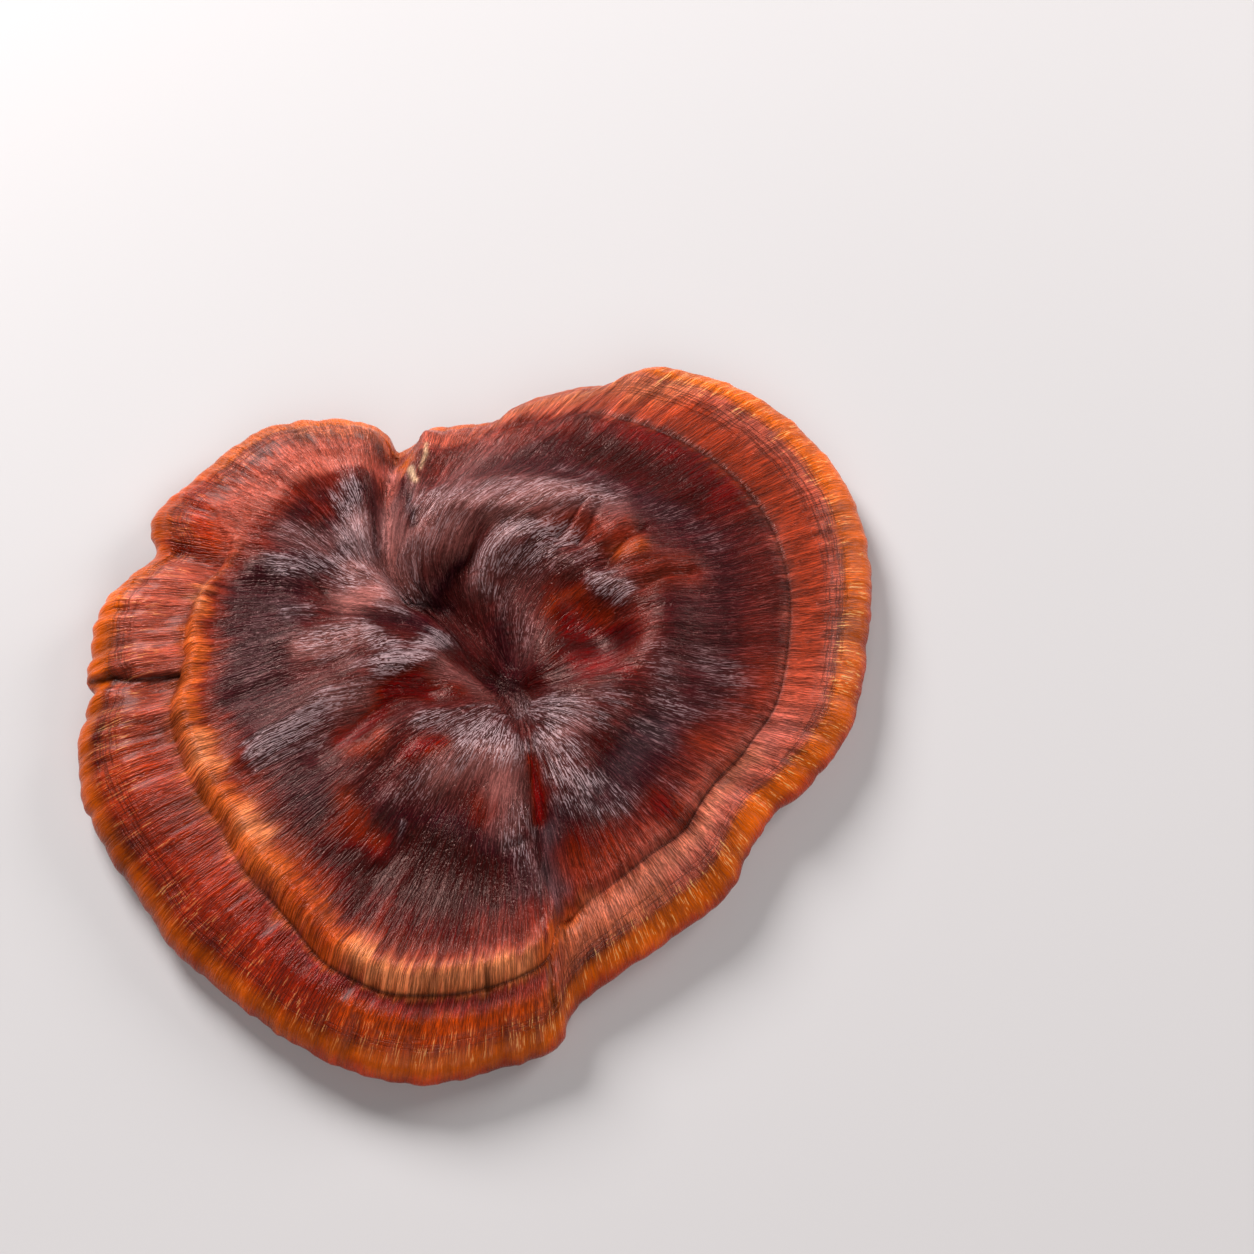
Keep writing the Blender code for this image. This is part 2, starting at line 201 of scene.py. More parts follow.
# The combing: ways and rings of its grid, its pace, the most paces, and the range and smoothing of its spread.
COMB_GRID = (720, 110)
COMB_PACE = 0.8
COMB_PACES = 150
SPREAD_RANGE = (0.5, 7.0)
SPREAD_SMOOTHINGS = 3
# The plan grid of the strands' turns: its reach each way, its step, and the area that softens each reading.
TURN_REACH = 100.0
TURN_STEP = 2.0
TURN_BLUR = 6.0
# Strands of the relief: how many go round at a spread of 0, how many levels of spread there are, how many cells
# they have to a ring, and their first seed.
STRANDS_ROUND = 8.4
STRAND_LEVELS = 9
STRAND_CELLS = 9
STRAND_SEED = 10
# Millimetres to a ring, and round the margin.
MM_PER_RING = 75.0
MM_ROUND = 520.0


def ease(low, high, value):
    """Smooth rise from 0 at low to 1 at high."""
    share = np.clip((value - low) / (high - low), 0.0, 1.0)
    return share * share * (3.0 - 2.0 * share)


def between(value, rise, fall):
    """1 between two smooth ramps, each given by where it starts and ends."""
    return ease(*rise, value) * (1.0 - ease(*fall, value))


def window(value, low, high, soft):
    """1 from low to high, with soft ends."""
    return between(value, (low - soft, low + soft), (high - soft, high + soft))


def falloff(distance, width):
    """1 at no distance, fading smoothly over the width."""
    return np.exp(-((distance / width) ** 2))


def table(rows, column, value):
    """One column of a table, read at value along its first column, with rounded corners."""
    rows = np.array(rows, float)
    spread = np.linspace(-1.0, 1.0, 5) * 0.35 * np.diff(rows[:, 0]).min()
    return np.mean([np.interp(value + shift, rows[:, 0], rows[:, column]) for shift in spread], axis=0)


def spline(back, here, ahead, beyond, step):
    """The point a step of the way from here to ahead, on the smooth curve through all four."""
    bend = (2 * back - 5 * here + 4 * ahead - beyond) * step**2
    bend = bend + (3 * here - back - 3 * ahead + beyond) * step**3
    return 0.5 * (2 * here + (ahead - back) * step + bend)


def smooth_loop(points, steps=40):
    """A smooth closed curve through the points, with the share of its length reached at each sample."""
    here = np.array(points, float)[:, None]
    back, ahead, beyond = np.roll(here, 1, 0), np.roll(here, -1, 0), np.roll(here, -2, 0)
    curve = spline(back, here, ahead, beyond, (np.arange(steps) / steps)[None, :, None]).reshape(-1, 2)
    curve = np.vstack([curve, curve[:1]])
    length = np.concatenate([[0.0], np.cumsum(np.linalg.norm(np.diff(curve, axis=0), axis=1))])
    return curve, length / length[-1]


MARGIN_LINE = smooth_loop(MARGIN)


def margin_point(way):
    curve, length = MARGIN_LINE
    return np.stack([np.interp(way, length, curve[:, axis]) for axis in (0, 1)], axis=-1)


def core_point(way):
    share = ease(*TO_FOOT, way) - ease(*TO_HEAD, way)
    head, foot = np.array(CREASE_HEAD), np.array(CREASE_FOOT)
    return head + (foot - head) * share[:, None]


def outward(way):
    reach = margin_point(way) - core_point(way)
    distance = np.linalg.norm(reach, axis=1, keepdims=True)
    return distance, reach / distance


def ring_share(way, ring):
    pull = np.where(ring < STEP_RING, ring / STEP_RING, (1.0 - ring) / (1.0 - STEP_RING))
    return ring + (table(STEP, 1, way) - STEP_RING) * np.clip(pull, 0.0, 1.0) ** 1.5


def distance_to(points, course):
    """Distance of each point from a course of straight legs."""
    nearest = np.full(len(points), np.inf)
    for start, end in zip(np.array(course, float)[:-1], np.array(course, float)[1:]):
        leg = end - start
        share = np.clip((points - start) @ leg / (leg @ leg), 0.0, 1.0)
        gap = np.linalg.norm(points - start - share[:, None] * leg, axis=1)
        nearest = np.minimum(nearest, gap)
    return nearest


def local_forms(points):
    total = np.zeros(len(points))
    for height, width, course in FORMS.values():
        total += height * falloff(distance_to(points, course), width)
    return total


def top_surface(way, ring):
    distance, direction = outward(way)
    reach = (distance - RIM_SECTION[0][0]) * ring_share(way, ring)[:, None]
    plan = core_point(way) + direction * reach
    near_pole = np.clip(ring / POLE_SHARE, 0.0, 1.0)[:, None]
    plan = np.array(POLE) + (plan - np.array(POLE)) * near_pole
    step, ridge = table(STEP, 2, way), table(STEP, 3, way)
    height = table(TOP_PROFILE, 1, ring)
    fallen = ease(STEP_RING + STEP_FALL[0], STEP_RING + STEP_FALL[1], ring)
    height -= step * (fallen - ease(STEP_RING, STEP_RING + STEP_RETURN, ring))
    height += ridge * falloff(ring - STEP_RING + RIDGE_PLACE, RIDGE_WIDTH)
    height += local_forms(plan) * (1.0 - ease(0.93, 1.0, ring) * 0.6)
    height += table(RIM_LIFT, 1, way) * ease(0.5, 1.0, ring)
    return np.column_stack([plan, height])


def plan_of(way, ring):
    """Plan of each point of the top; points past it are held at the margin."""
    return top_surface(way, np.clip(ring, 0.0, 1.0))[:, :2]


def rim_surface(way, index):
    """One row of the rounded margin; index runs from 0 at the top edge to 6 at the pore face."""
    _, direction = outward(way)
    knots = np.array((RIM_RUN_IN, *RIM_SECTION, RIM_RUN_OUT))
    first = min(int(index), len(RIM_SECTION) - 2)
    inset, height = spline(*knots[first : first + 4], index - first)
    plan = margin_point(way) - direction * inset
    dip = local_forms(plan) * 0.4 * (1.0 - index / (len(RIM_SECTION) - 1))
    return np.column_stack([plan, height + table(RIM_LIFT, 1, way) + dip])


def stem_edge(way):
    reach = margin_point(way) - np.array(STEM_CENTRE)
    angle = np.arctan2(reach[:, 1], reach[:, 0]) - STEM_TURN
    radius = 1.0 / np.hypot(np.cos(angle) / STEM_RADII[0], np.sin(angle) / STEM_RADII[1])
    return radius[:, None] * reach / np.linalg.norm(reach, axis=1, keepdims=True)


def pore_surface(way, share):
    _, direction = outward(way)
    lip = margin_point(way) - direction * RIM_SECTION[-1][0]
    inner = np.array(STEM_CENTRE) + stem_edge(way) * PORE_START
    height = table(PORE_PROFILE, 1, np.full(len(way), share)) + table(RIM_LIFT, 1, way) * share**2
    return np.column_stack([inner + (lip - inner) * share, height])


def stem_surface(way, factor, height):
    return np.column_stack([np.array(STEM_CENTRE) + stem_edge(way) * factor, np.full(len(way), height)])


# ---------------------------------------------------------------- fine relief


def lattice(way, ring, around, along, seed):
    """Smooth random values from 0 to 1 on cells that run round the cap and outward; it closes on itself."""
    values = np.random.default_rng(seed).random((int(2.8 * along) + 3, around))
    across, out = (way % 1.0) * around, np.clip(ring + 0.7, 0.0, 2.8) * along
    column, row = np.floor(across).astype(int), np.floor(out).astype(int)
    share_x, share_y = across - column, out - row
    share_x, share_y = share_x**2 * (3 - 2 * share_x), share_y**2 * (3 - 2 * share_y)
    here, beside = column % around, (column + 1) % around
    low = values[row, here] * (1 - share_x) + values[row, beside] * share_x
    high = values[row + 1, here] * (1 - share_x) + values[row + 1, beside] * share_x
    return low * (1 - share_y) + high * share_y


def angle_from_pit(points):
    return np.arctan2(points[:, 1] - PIT[1], points[:, 0] - PIT[0])


def wrapped(value, period=1.0):
    """The value brought to within half a period of nought."""
    return (value + period / 2.0) % period - period / 2.0


def pick(grid, column, row):
    """A grid read between its points; its columns close on themselves."""
    first, top = np.floor(column).astype(int), np.clip(np.floor(row).astype(int), 0, len(grid) - 2)
    across, down = column - first, np.clip(row - top, 0.0, 1.0)
    here, beside = first % grid.shape[1], (first + 1) % grid.shape[1]
    low = grid[top, here] * (1.0 - across) + grid[top, beside] * across
    high = grid[top + 1, here] * (1.0 - across) + grid[top + 1, beside] * across
    return low * (1.0 - down) + high * down


def combing_turns():
    """Turn of the strands from the line out of the pit, on a square grid in plan."""
    samples = np.arange(0.0, 1.0, 1.0 / LOOP_SAMPLES)
    places = [plan_of(samples, np.full(LOOP_SAMPLES, ring)) for ring in (LOOP_RING, INNER_LOOP_RING)]
    headings = [outward(samples)[1]] * 2
    for course in STRANDS:
        points = np.array(course)
        places.append((points[1:] + points[:-1]) / 2.0)
        headings.append(np.diff(points, axis=0))
    places, headings = np.vstack(places), np.vstack(headings)
    turns = wrapped(np.arctan2(headings[:, 1], headings[:, 0]) - angle_from_pit(places), math.tau)
    axis = np.arange(-TURN_REACH, TURN_REACH + 1.0, TURN_STEP)
    east, north = np.meshgrid(axis, axis)
    gaps = (east[..., None] - places[:, 0]) ** 2 + (north[..., None] - places[:, 1]) ** 2
    weights = 1.0 / (gaps + TURN_BLUR) ** 2
    return (weights * turns).sum(axis=2) / weights.sum(axis=2)


def comb():
    """Grids over way and ring: how far round each strand's end lies, its run in rings, and its spread.

    Each point is followed outward along the combing to the loop where the strands become straight. The spread
    is the base-2 logarithm of the millimetres between two strands that end a radian apart."""
    columns, count = COMB_GRID
    way, rings = np.arange(columns) / columns, np.linspace(0.0, 1.0, count)
    loop = plan_of(way, np.full(columns, LOOP_RING))
    loop_angle = np.unwrap(angle_from_pit(loop))
    loop_reach = np.linalg.norm(loop - np.array(PIT), axis=1)
    turns = combing_turns()
    ways, ring = np.tile(way, count), np.repeat(rings, columns)
    surface = top_surface(ways, ring)
    inside = ring < LOOP_RING
    here, length = surface[inside][:, :2].copy(), np.zeros(inside.sum())
    for _ in range(COMB_PACES):
        angle = loop_angle[0] + (angle_from_pit(here) - loop_angle[0]) % math.tau
        reach = np.interp(angle, loop_angle, loop_reach)
        going = np.linalg.norm(here - np.array(PIT), axis=1) < reach
        if not going.any():
            break
        heading = angle + pick(turns, *((here + TURN_REACH) / TURN_STEP).T)
        pace = COMB_PACE * going
        here += np.column_stack([np.cos(heading), np.sin(heading)]) * pace[:, None]
        length += pace
    ends = np.interp(angle, loop_angle, way)
    shift, run = table(LEAN, 1, ways) * (STEP_RING - ring), ring.copy()
    leaning = table(LEAN, 1, ends) * (STEP_RING - LOOP_RING)
    shift[inside] = wrapped(ends - ways[inside]) + leaning
    run[inside] = LOOP_RING - length / MM_PER_RING
    shift, run = shift.reshape(count, columns), run.reshape(count, columns)
    surface = surface.reshape(count, columns, 3)
    round_step = (np.roll(surface, -1, axis=1) - np.roll(surface, 1, axis=1)) / 2.0
    out_step = np.gradient(surface, axis=0)
    round_turn = wrapped(np.roll(shift, -1, axis=1) - np.roll(shift, 1, axis=1)) / 2.0 + 1.0 / columns
    out_turn = wrapped(np.diff(shift, axis=0, append=shift[-1:]))
    first, mixed, last = ((a * b).sum(axis=2) for a, b in (
        (round_step, round_step), (round_step, out_step), (out_step, out_step)))
    steepness = last * round_turn**2 - 2.0 * mixed * round_turn * out_turn + first * out_turn**2
    steepness /= np.maximum(first * last - mixed**2, 1e-6)
    spread = -0.5 * np.log2(np.maximum(steepness, 1e-9)) - math.log2(math.tau)
    spread = np.clip(spread, *SPREAD_RANGE)
    for _ in range(SPREAD_SMOOTHINGS):
        spread = (np.roll(spread, 1, axis=1) + spread + np.roll(spread, -1, axis=1)) / 3.0
        spread[1:-1] = (spread[:-2] + spread[1:-1] + spread[2:]) / 3.0
    return shift, run, spread


COMB = comb()


def combed(way, ring):
    """For each point: the way on which its strand ends, its run along the strand in rings, and its spread."""
    column, row = way * COMB_GRID[0], np.clip(ring, 0.0, 1.0) * (COMB_GRID[1] - 1)
    shift, run, spread = (pick(grid, column, row) for grid in COMB)
    return way + shift, run + np.maximum(ring - 1.0, 0.0), spread


def strand_relief(way, ring):
    """Strands about a millimetre and a half apart everywhere, from 0 to 1."""
    strand, run, spread = combed(way, ring)
    total = np.zeros(len(way))
    for level in range(STRAND_LEVELS):
        share = np.clip(1.0 - np.abs(spread - level), 0.0, 1.0)
        total += share * lattice(strand, run, round(STRANDS_ROUND * 2**level), STRAND_CELLS, STRAND_SEED + level)
    return total


def streaks(way, ring):
    """The same strands, from -0.5 to 0.5."""
    return strand_relief(way, ring) - 0.5


def along_course(way, ring, course, width):
    """1 on a course of (way, ring) points, falling off over width millimetres."""
    round_scale = MM_ROUND * np.clip(ring, 0.15, 1.1)
    nearest = np.full(len(way), np.inf)
    for start, end in zip(course[:-1], course[1:]):
        leg_x, leg_y = (end[0] - start[0]) * round_scale, (end[1] - start[1]) * MM_PER_RING
        gap_x, gap_y = (way - start[0]) * round_scale, (ring - start[1]) * MM_PER_RING
        share = np.clip((gap_x * leg_x + gap_y * leg_y) / (leg_x**2 + leg_y**2), 0.0, 1.0)
        nearest = np.minimum(nearest, np.hypot(gap_x - share * leg_x, gap_y - share * leg_y))
    return falloff(nearest, width)


# Grains of the relief and of the paint: size, cells round the cap, cells to a ring outward, and seed.
GRAINS = {
    "fold": (0.9, 150, 4, 21),
    "narrow_fold": (0.95, 300, 6, 22),
    "ridge_streak": (0.5, 170, 5, 23),
    "hump": (0.8, 46, 5, 24),
    "weave": (0.14, 24, 95, 25),
    "furrow": (0.4, 90, 12, 26),
    "wrinkle": (0.45, 330, 20, 27),
    "fray": (0.03, 70, 3, 31),
    "drift": (0.004, 40, 14, 32),
    # These share their cells with the folds: painted highlight on the folds' tops, painted shade between them.
    "fold_shading": (0.40, 150, 4, 21),
    "narrow_fold_shading": (0.40, 300, 6, 22),
    "mottle": (0.25, 24, 12, 33),
    "fleck": (0.30, 60, 9, 34),
}
# Zones of the relief by ring, as the runs over which each rises and falls.
OUTER_ZONE = ((0.79, 0.84), (1.10, 1.15))
RIDGE_ZONE = ((0.69, 0.72), (0.795, 0.805))
INNER_ZONE = ((0.08, 0.16), (0.78, 0.82))
WEAVE_ZONE = ((0.88, 0.91), (0.975, 1.0))
# The rings over which the folds end, and all relief.
FOLDS_END = (0.72, 0.80)
RELIEF_END = (1.12, 1.16)
# The ways where the outer zone is deeper and shallower, those of the ridge, and how softly they end.
DEEP_WAYS = (0.145, 0.262)
SHALLOW_WAYS = (0.50, 0.60)
RIDGE_WAYS = (0.15, 0.50)
WAY_SOFT = 0.012
STREAK_HEIGHT = 0.30

# The line at the foot of the growth step: how far outside it lies, its depth, and its width in the relief and in
# the paint. The table says how sharp it is and how dark the shade painted into it is, by way.
GROOVE_PLACE = 0.004
GROOVE_DEPTH = 0.6
GROOVE_WIDTH = 0.006
GROOVE_PAINT_WIDTH = 0.0055
GROOVE = (
    (0.00, 0.0), (0.13, 0.0), (0.16, 0.25), (0.25, 0.3), (0.31, 0.4), (0.34, 0.75), (0.38, 0.9), (0.495, 1.0),
    (0.51, 0.3), (0.53, 0.3), (0.56, 0.6), (0.62, 0.9), (0.65, 0.7), (0.86, 0.7), (0.90, 0.1), (1.00, 0.0),
)

# Low folds inside the growth step: height, width and course in plan.
FOLDS = (
    # West: ridges that run from the middle to the growth step, with hollows between.
    (0.9, 2.6, ((-7.9, 8.7), (-16.2, 9.9), (-24.6, 11.5), (-32.7, 9.9), (-39.8, 7.1))),
    (-0.8, 2.0, ((-17.4, 13.4), (-26.8, 15.3), (-33.9, 12.9))),
    (-0.8, 2.2, ((-29.3, 2.4), (-38.3, -1.7), (-48.4, -4.0))),
    (1.2, 2.8, ((-9.9, 5.2), (-17.0, 3.4), (-26.0, -2.8), (-33.9, -7.4), (-42.1, -14.9), (-45.5, -18.0))),
    (-1.4, 2.6, ((-9.7, -1.7), (-15.8, -1.7), (-21.3, -6.7), (-26.5, -13.5), (-31.8, -17.5))),
    (0.8, 2.6, ((0.7, -5.1), (-7.4, -8.1), (-14.5, -10.8), (-20.3, -17.5), (-25.1, -24.2))),
    (-0.9, 2.2, ((-7.3, -13.1), (-13.3, -14.9), (-18.2, -19.8))),
    (1.1, 3.4, ((8.0, -17.5), (-1.1, -18.0), (-9.1, -20.2), (-14.0, -24.2), (-17.2, -29.7))),
    (-1.0, 3.0, ((-6.9, -28.6), (-14.6, -36.9), (-20.3, -43.4))),
    (0.5, 1.0, ((-14.3, -29.3), (-14.5, -33.7), (-16.4, -36.9), (-18.9, -39.5))),
    # The whorl: its crest, the creased bumps behind it, and the bowl and rolls in front of it.
    (1.0, 2.4, ((-10.5, 30.8), (-5.4, 35.2), (1.9, 37.4), (10.3, 36.7), (16.6, 39.0))),
    (-1.7, 1.2, ((16.0, 31.9), (18.7, 35.3), (21.4, 38.5))),
    (-1.7, 1.3, ((20.4, 30.0), (22.5, 33.9), (25.0, 38.0))),
    (-1.8, 1.4, ((25.7, 24.3), (27.5, 28.3), (31.3, 31.2), (34.4, 33.4))),
    (-1.3, 1.4, ((33.4, 18.8), (38.6, 21.9), (43.8, 23.3))),
    (1.0, 2.6, ((27.5, 31.9), (30.9, 34.8))),
    (1.0, 2.2, ((30.5, 25.7), (33.8, 28.1))),
    (0.7, 2.5, ((38.6, 24.7), (43.8, 25.9))),
    (1.3, 3.4, ((25.1, 21.1), (30.2, 19.2))),
    (-1.3, 4.0, ((18.8, 14.6), (25.1, 11.3))),
    (0.9, 2.6, ((-0.3, 22.4), (1.2, 27.1), (5.1, 30.7), (12.4, 32.4))),
    (-1.5, 2.5, ((-11.6, 22.7), (-10.3, 27.5), (-7.7, 31.9), (-3.6, 35.0))),
    (-1.2, 2.4, ((-6.1, 9.6), (0.2, 5.0), (4.4, 2.2))),
)

# Cracks and fine creases of the top: depth, width and course, in way and ring.
CRACKS = (
    (0.9, 0.55, ((0.2055, 1.06), (0.209, 0.99), (0.215, 0.92), (0.2185, 0.84), (0.221, 0.80))),
    (0.5, 0.6, ((0.234, 0.98), (0.2375, 0.90), (0.2405, 0.84))),
    (0.35, 0.5, ((0.246, 0.93), (0.2475, 0.82))),
    (0.6, 0.45, ((0.4625, 0.728), (0.464, 0.76), (0.4655, 0.81))),
    (0.45, 0.7, ((0.468, 0.452), (0.478, 0.455), (0.490, 0.462))),
    (0.6, 0.6, ((0.4975, 0.81), (0.496, 0.86), (0.4955, 0.91), (0.4965, 0.96))),
    (0.5, 0.5, ((0.158, 0.37), (0.172, 0.33), (0.182, 0.295))),
)


def grain(name, way, ring, share=1.0):
    """One grain at each point, up to half its size either way, times a share."""
    size, around, along, seed = GRAINS[name]
    return share * size * (lattice(way, ring, around, along, seed) - 0.5)


def groove_of(way, ring, width):
    """How strong the line at the foot of the growth step is at each point."""
    return falloff(ring - STEP_RING - GROOVE_PLACE, width) * table(GROOVE, 1, way)


def fine_relief(way, ring):
    """Height in millimetres of folds, strands, ripples and cracks along the surface's own normal."""
    strand = combed(way, ring)[0]
    outer = between(ring, *OUTER_ZONE)
    depth = 0.50 + 0.50 * window(way, *DEEP_WAYS, WAY_SOFT) - 0.10 * window(way, *SHALLOW_WAYS, WAY_SOFT)
    height = grain("fold", strand, ring, outer * depth) + grain("narrow_fold", strand, ring, outer * depth)
    ridge = between(ring, *RIDGE_ZONE) * window(way, *RIDGE_WAYS, WAY_SOFT)
    height += grain("ridge_streak", strand, ring, ridge)
    height += grain("wrinkle", strand, ring, np.maximum(ridge, outer * 0.6))
    inner = between(ring, *INNER_ZONE)
    height += inner * STREAK_HEIGHT * streaks(way, ring)
    height += grain("hump", strand, ring, inner)
    height += grain("furrow", strand, ring, inner)
    plan = plan_of(way, ring)
    for rise, width, course in FOLDS:
        height += (1.0 - ease(*FOLDS_END, ring)) * rise * falloff(distance_to(plan, course), width)
    height += grain("weave", way, ring, between(ring, *WEAVE_ZONE))
    height -= GROOVE_DEPTH * groove_of(way, ring, GROOVE_WIDTH)
    for deep, width, course in CRACKS:
        height -= deep * along_course(way, ring, course, width)
    return height * (1.0 - ease(*RELIEF_END, ring))


# ---------------------------------------------------------------- colour of the top

# Washes of colour, in the order they are laid: pigment, strength, softness, and rows of way, inner ring, outer
# ring and weight.
WASHES = (
    ("mahogany", 1.0, 0.05, ((0.0, 0.55, 0.82, 1.0), (0.12, 0.55, 0.82, 1.0), (0.15, 0.66, 0.82, 1.0),
                             (0.5, 0.62, 0.82, 1.0), (0.62, 0.66, 0.82, 0.9), (0.76, 0.66, 0.82, 0.4),
                             (0.88, 0.66, 0.84, 0.6), (1.0, 0.5, 0.84, 1.0))),
    ("char", 0.92, 0.05, ((0.0, 0.1, 0.3, 0.1), (0.03, 0.12, 0.50, 0.75), (0.13, 0.12, 0.50, 0.75),
                          (0.16, 0.34, 0.66, 0.9), (0.26, 0.46, 0.66, 0.85), (0.285, 0.5, 0.64, 0.5),
                          (0.32, 0.5, 0.66, 0.8), (0.37, 0.42, 0.64, 0.85), (0.40, 0.38, 0.60, 1.0),
                          (0.47, 0.40, 0.60, 0.9), (0.50, 0.48, 0.66, 0.5), (0.55, 0.46, 0.60, 0.6),
                          (0.60, 0.45, 0.63, 0.95), (0.66, 0.45, 0.63, 0.6), (0.72, 0.40, 0.68, 0.6),
                          (0.78, 0.56, 0.72, 0.75), (0.86, 0.44, 0.68, 0.6), (0.92, 0.42, 0.6, 0.35),
                          (1.0, 0.1, 0.3, 0.1))),
    ("salmon", 1.0, 0.03, ((0.0, 0.55, 0.97, 1.0), (0.03, 0.62, 0.97, 1.0), (0.12, 0.60, 0.97, 0.9),
                           (0.15, 0.80, 0.97, 1.0), (0.24, 0.80, 0.97, 1.0), (0.30, 0.80, 0.97, 0.9),
                           (0.50, 0.805, 0.98, 1.0), (0.88, 0.80, 0.98, 1.0), (0.91, 0.84, 1.1, 1.0),
                           (0.97, 0.84, 1.1, 1.0), (1.0, 0.6, 1.1, 1.0))),
    ("ember", 0.85, 0.03, ((0.14, 0.85, 0.97, 0.0), (0.20, 0.85, 0.97, 0.4), (0.26, 0.84, 0.97, 0.8),
                           (0.30, 0.88, 0.98, 1.0), (0.36, 0.88, 0.98, 1.0), (0.42, 0.92, 0.98, 1.0),
                           (0.48, 0.90, 0.98, 0.9), (0.50, 0.82, 0.94, 0.0), (0.66, 0.82, 0.92, 0.0),
                           (0.70, 0.81, 0.92, 0.7), (0.86, 0.81, 0.90, 0.9), (0.90, 0.83, 0.90, 0.3),
                           (0.95, 0.83, 0.90, 0.0))),
    ("plum", 0.9, 0.02, ((0.22, 0.82, 0.86, 0.0), (0.27, 0.82, 0.87, 0.45), (0.36, 0.82, 0.88, 0.9),
                         (0.375, 0.80, 0.92, 0.9), (0.42, 0.80, 0.90, 0.95), (0.47, 0.80, 0.88, 0.9),
                         (0.495, 0.80, 0.88, 0.7), (0.502, 0.80, 0.88, 0.0))),
    ("rust", 0.85, 0.03, ((0.22, 0.84, 0.98, 0.0), (0.27, 0.83, 0.98, 0.8), (0.36, 0.84, 0.99, 1.0),
                          (0.40, 0.87, 0.99, 1.0), (0.48, 0.89, 0.99, 1.0), (0.50, 0.89, 0.99, 0.0))),
    ("brick", 0.8, 0.05, ((0.13, 0.69, 0.78, 0.0), (0.165, 0.70, 0.78, 0.4), (0.20, 0.69, 0.78, 0.9),
                          (0.30, 0.68, 0.78, 1.0), (0.37, 0.68, 0.78, 1.0), (0.45, 0.70, 0.78, 1.0),
                          (0.50, 0.71, 0.79, 0.9), (0.53, 0.76, 0.80, 0.4), (0.56, 0.78, 0.80, 0.0))),
    ("orange", 1.0, 0.03, ((0.13, 0.73, 0.80, 0.0), (0.165, 0.74, 0.80, 0.4), (0.20, 0.72, 0.80, 0.95),
                           (0.30, 0.72, 0.80, 1.0), (0.37, 0.715, 0.80, 1.0), (0.40, 0.735, 0.80, 1.0),
                           (0.45, 0.75, 0.80, 1.0), (0.50, 0.765, 0.81, 1.0), (0.515, 0.78, 0.83, 0.8),
                           (0.54, 0.80, 0.83, 0.5), (0.57, 0.80, 0.83, 0.0))),
    ("amber", 1.0, 0.019, ((0.0, 0.97, 1.25, 0.7), (0.02, 0.955, 1.25, 0.9), (0.12, 0.955, 1.25, 0.8),
                           (0.15, 0.965, 1.25, 0.8), (0.20, 0.985, 1.25, 0.85), (0.26, 1.00, 1.25, 0.6),
                           (0.40, 0.995, 1.25, 0.6), (0.47, 0.99, 1.25, 0.9),
                           (0.54, 0.985, 1.25, 0.95), (0.60, 0.965, 1.25, 1.0),
                           (0.75, 0.96, 1.25, 1.0), (0.88, 0.96, 1.25, 1.0), (0.90, 1.0, 1.25, 0.6),
                           (0.97, 0.99, 1.25, 0.6), (1.0, 0.97, 1.25, 0.7))),
    ("umber", 0.85, 0.025, ((0.0, 1.10, 1.3, 0.6), (0.25, 1.07, 1.3, 0.8), (0.5, 1.045, 1.3, 1.0),
                            (0.72, 1.045, 1.3, 1.0), (0.8, 1.08, 1.3, 0.7), (1.0, 1.10, 1.3, 0.6))),
)

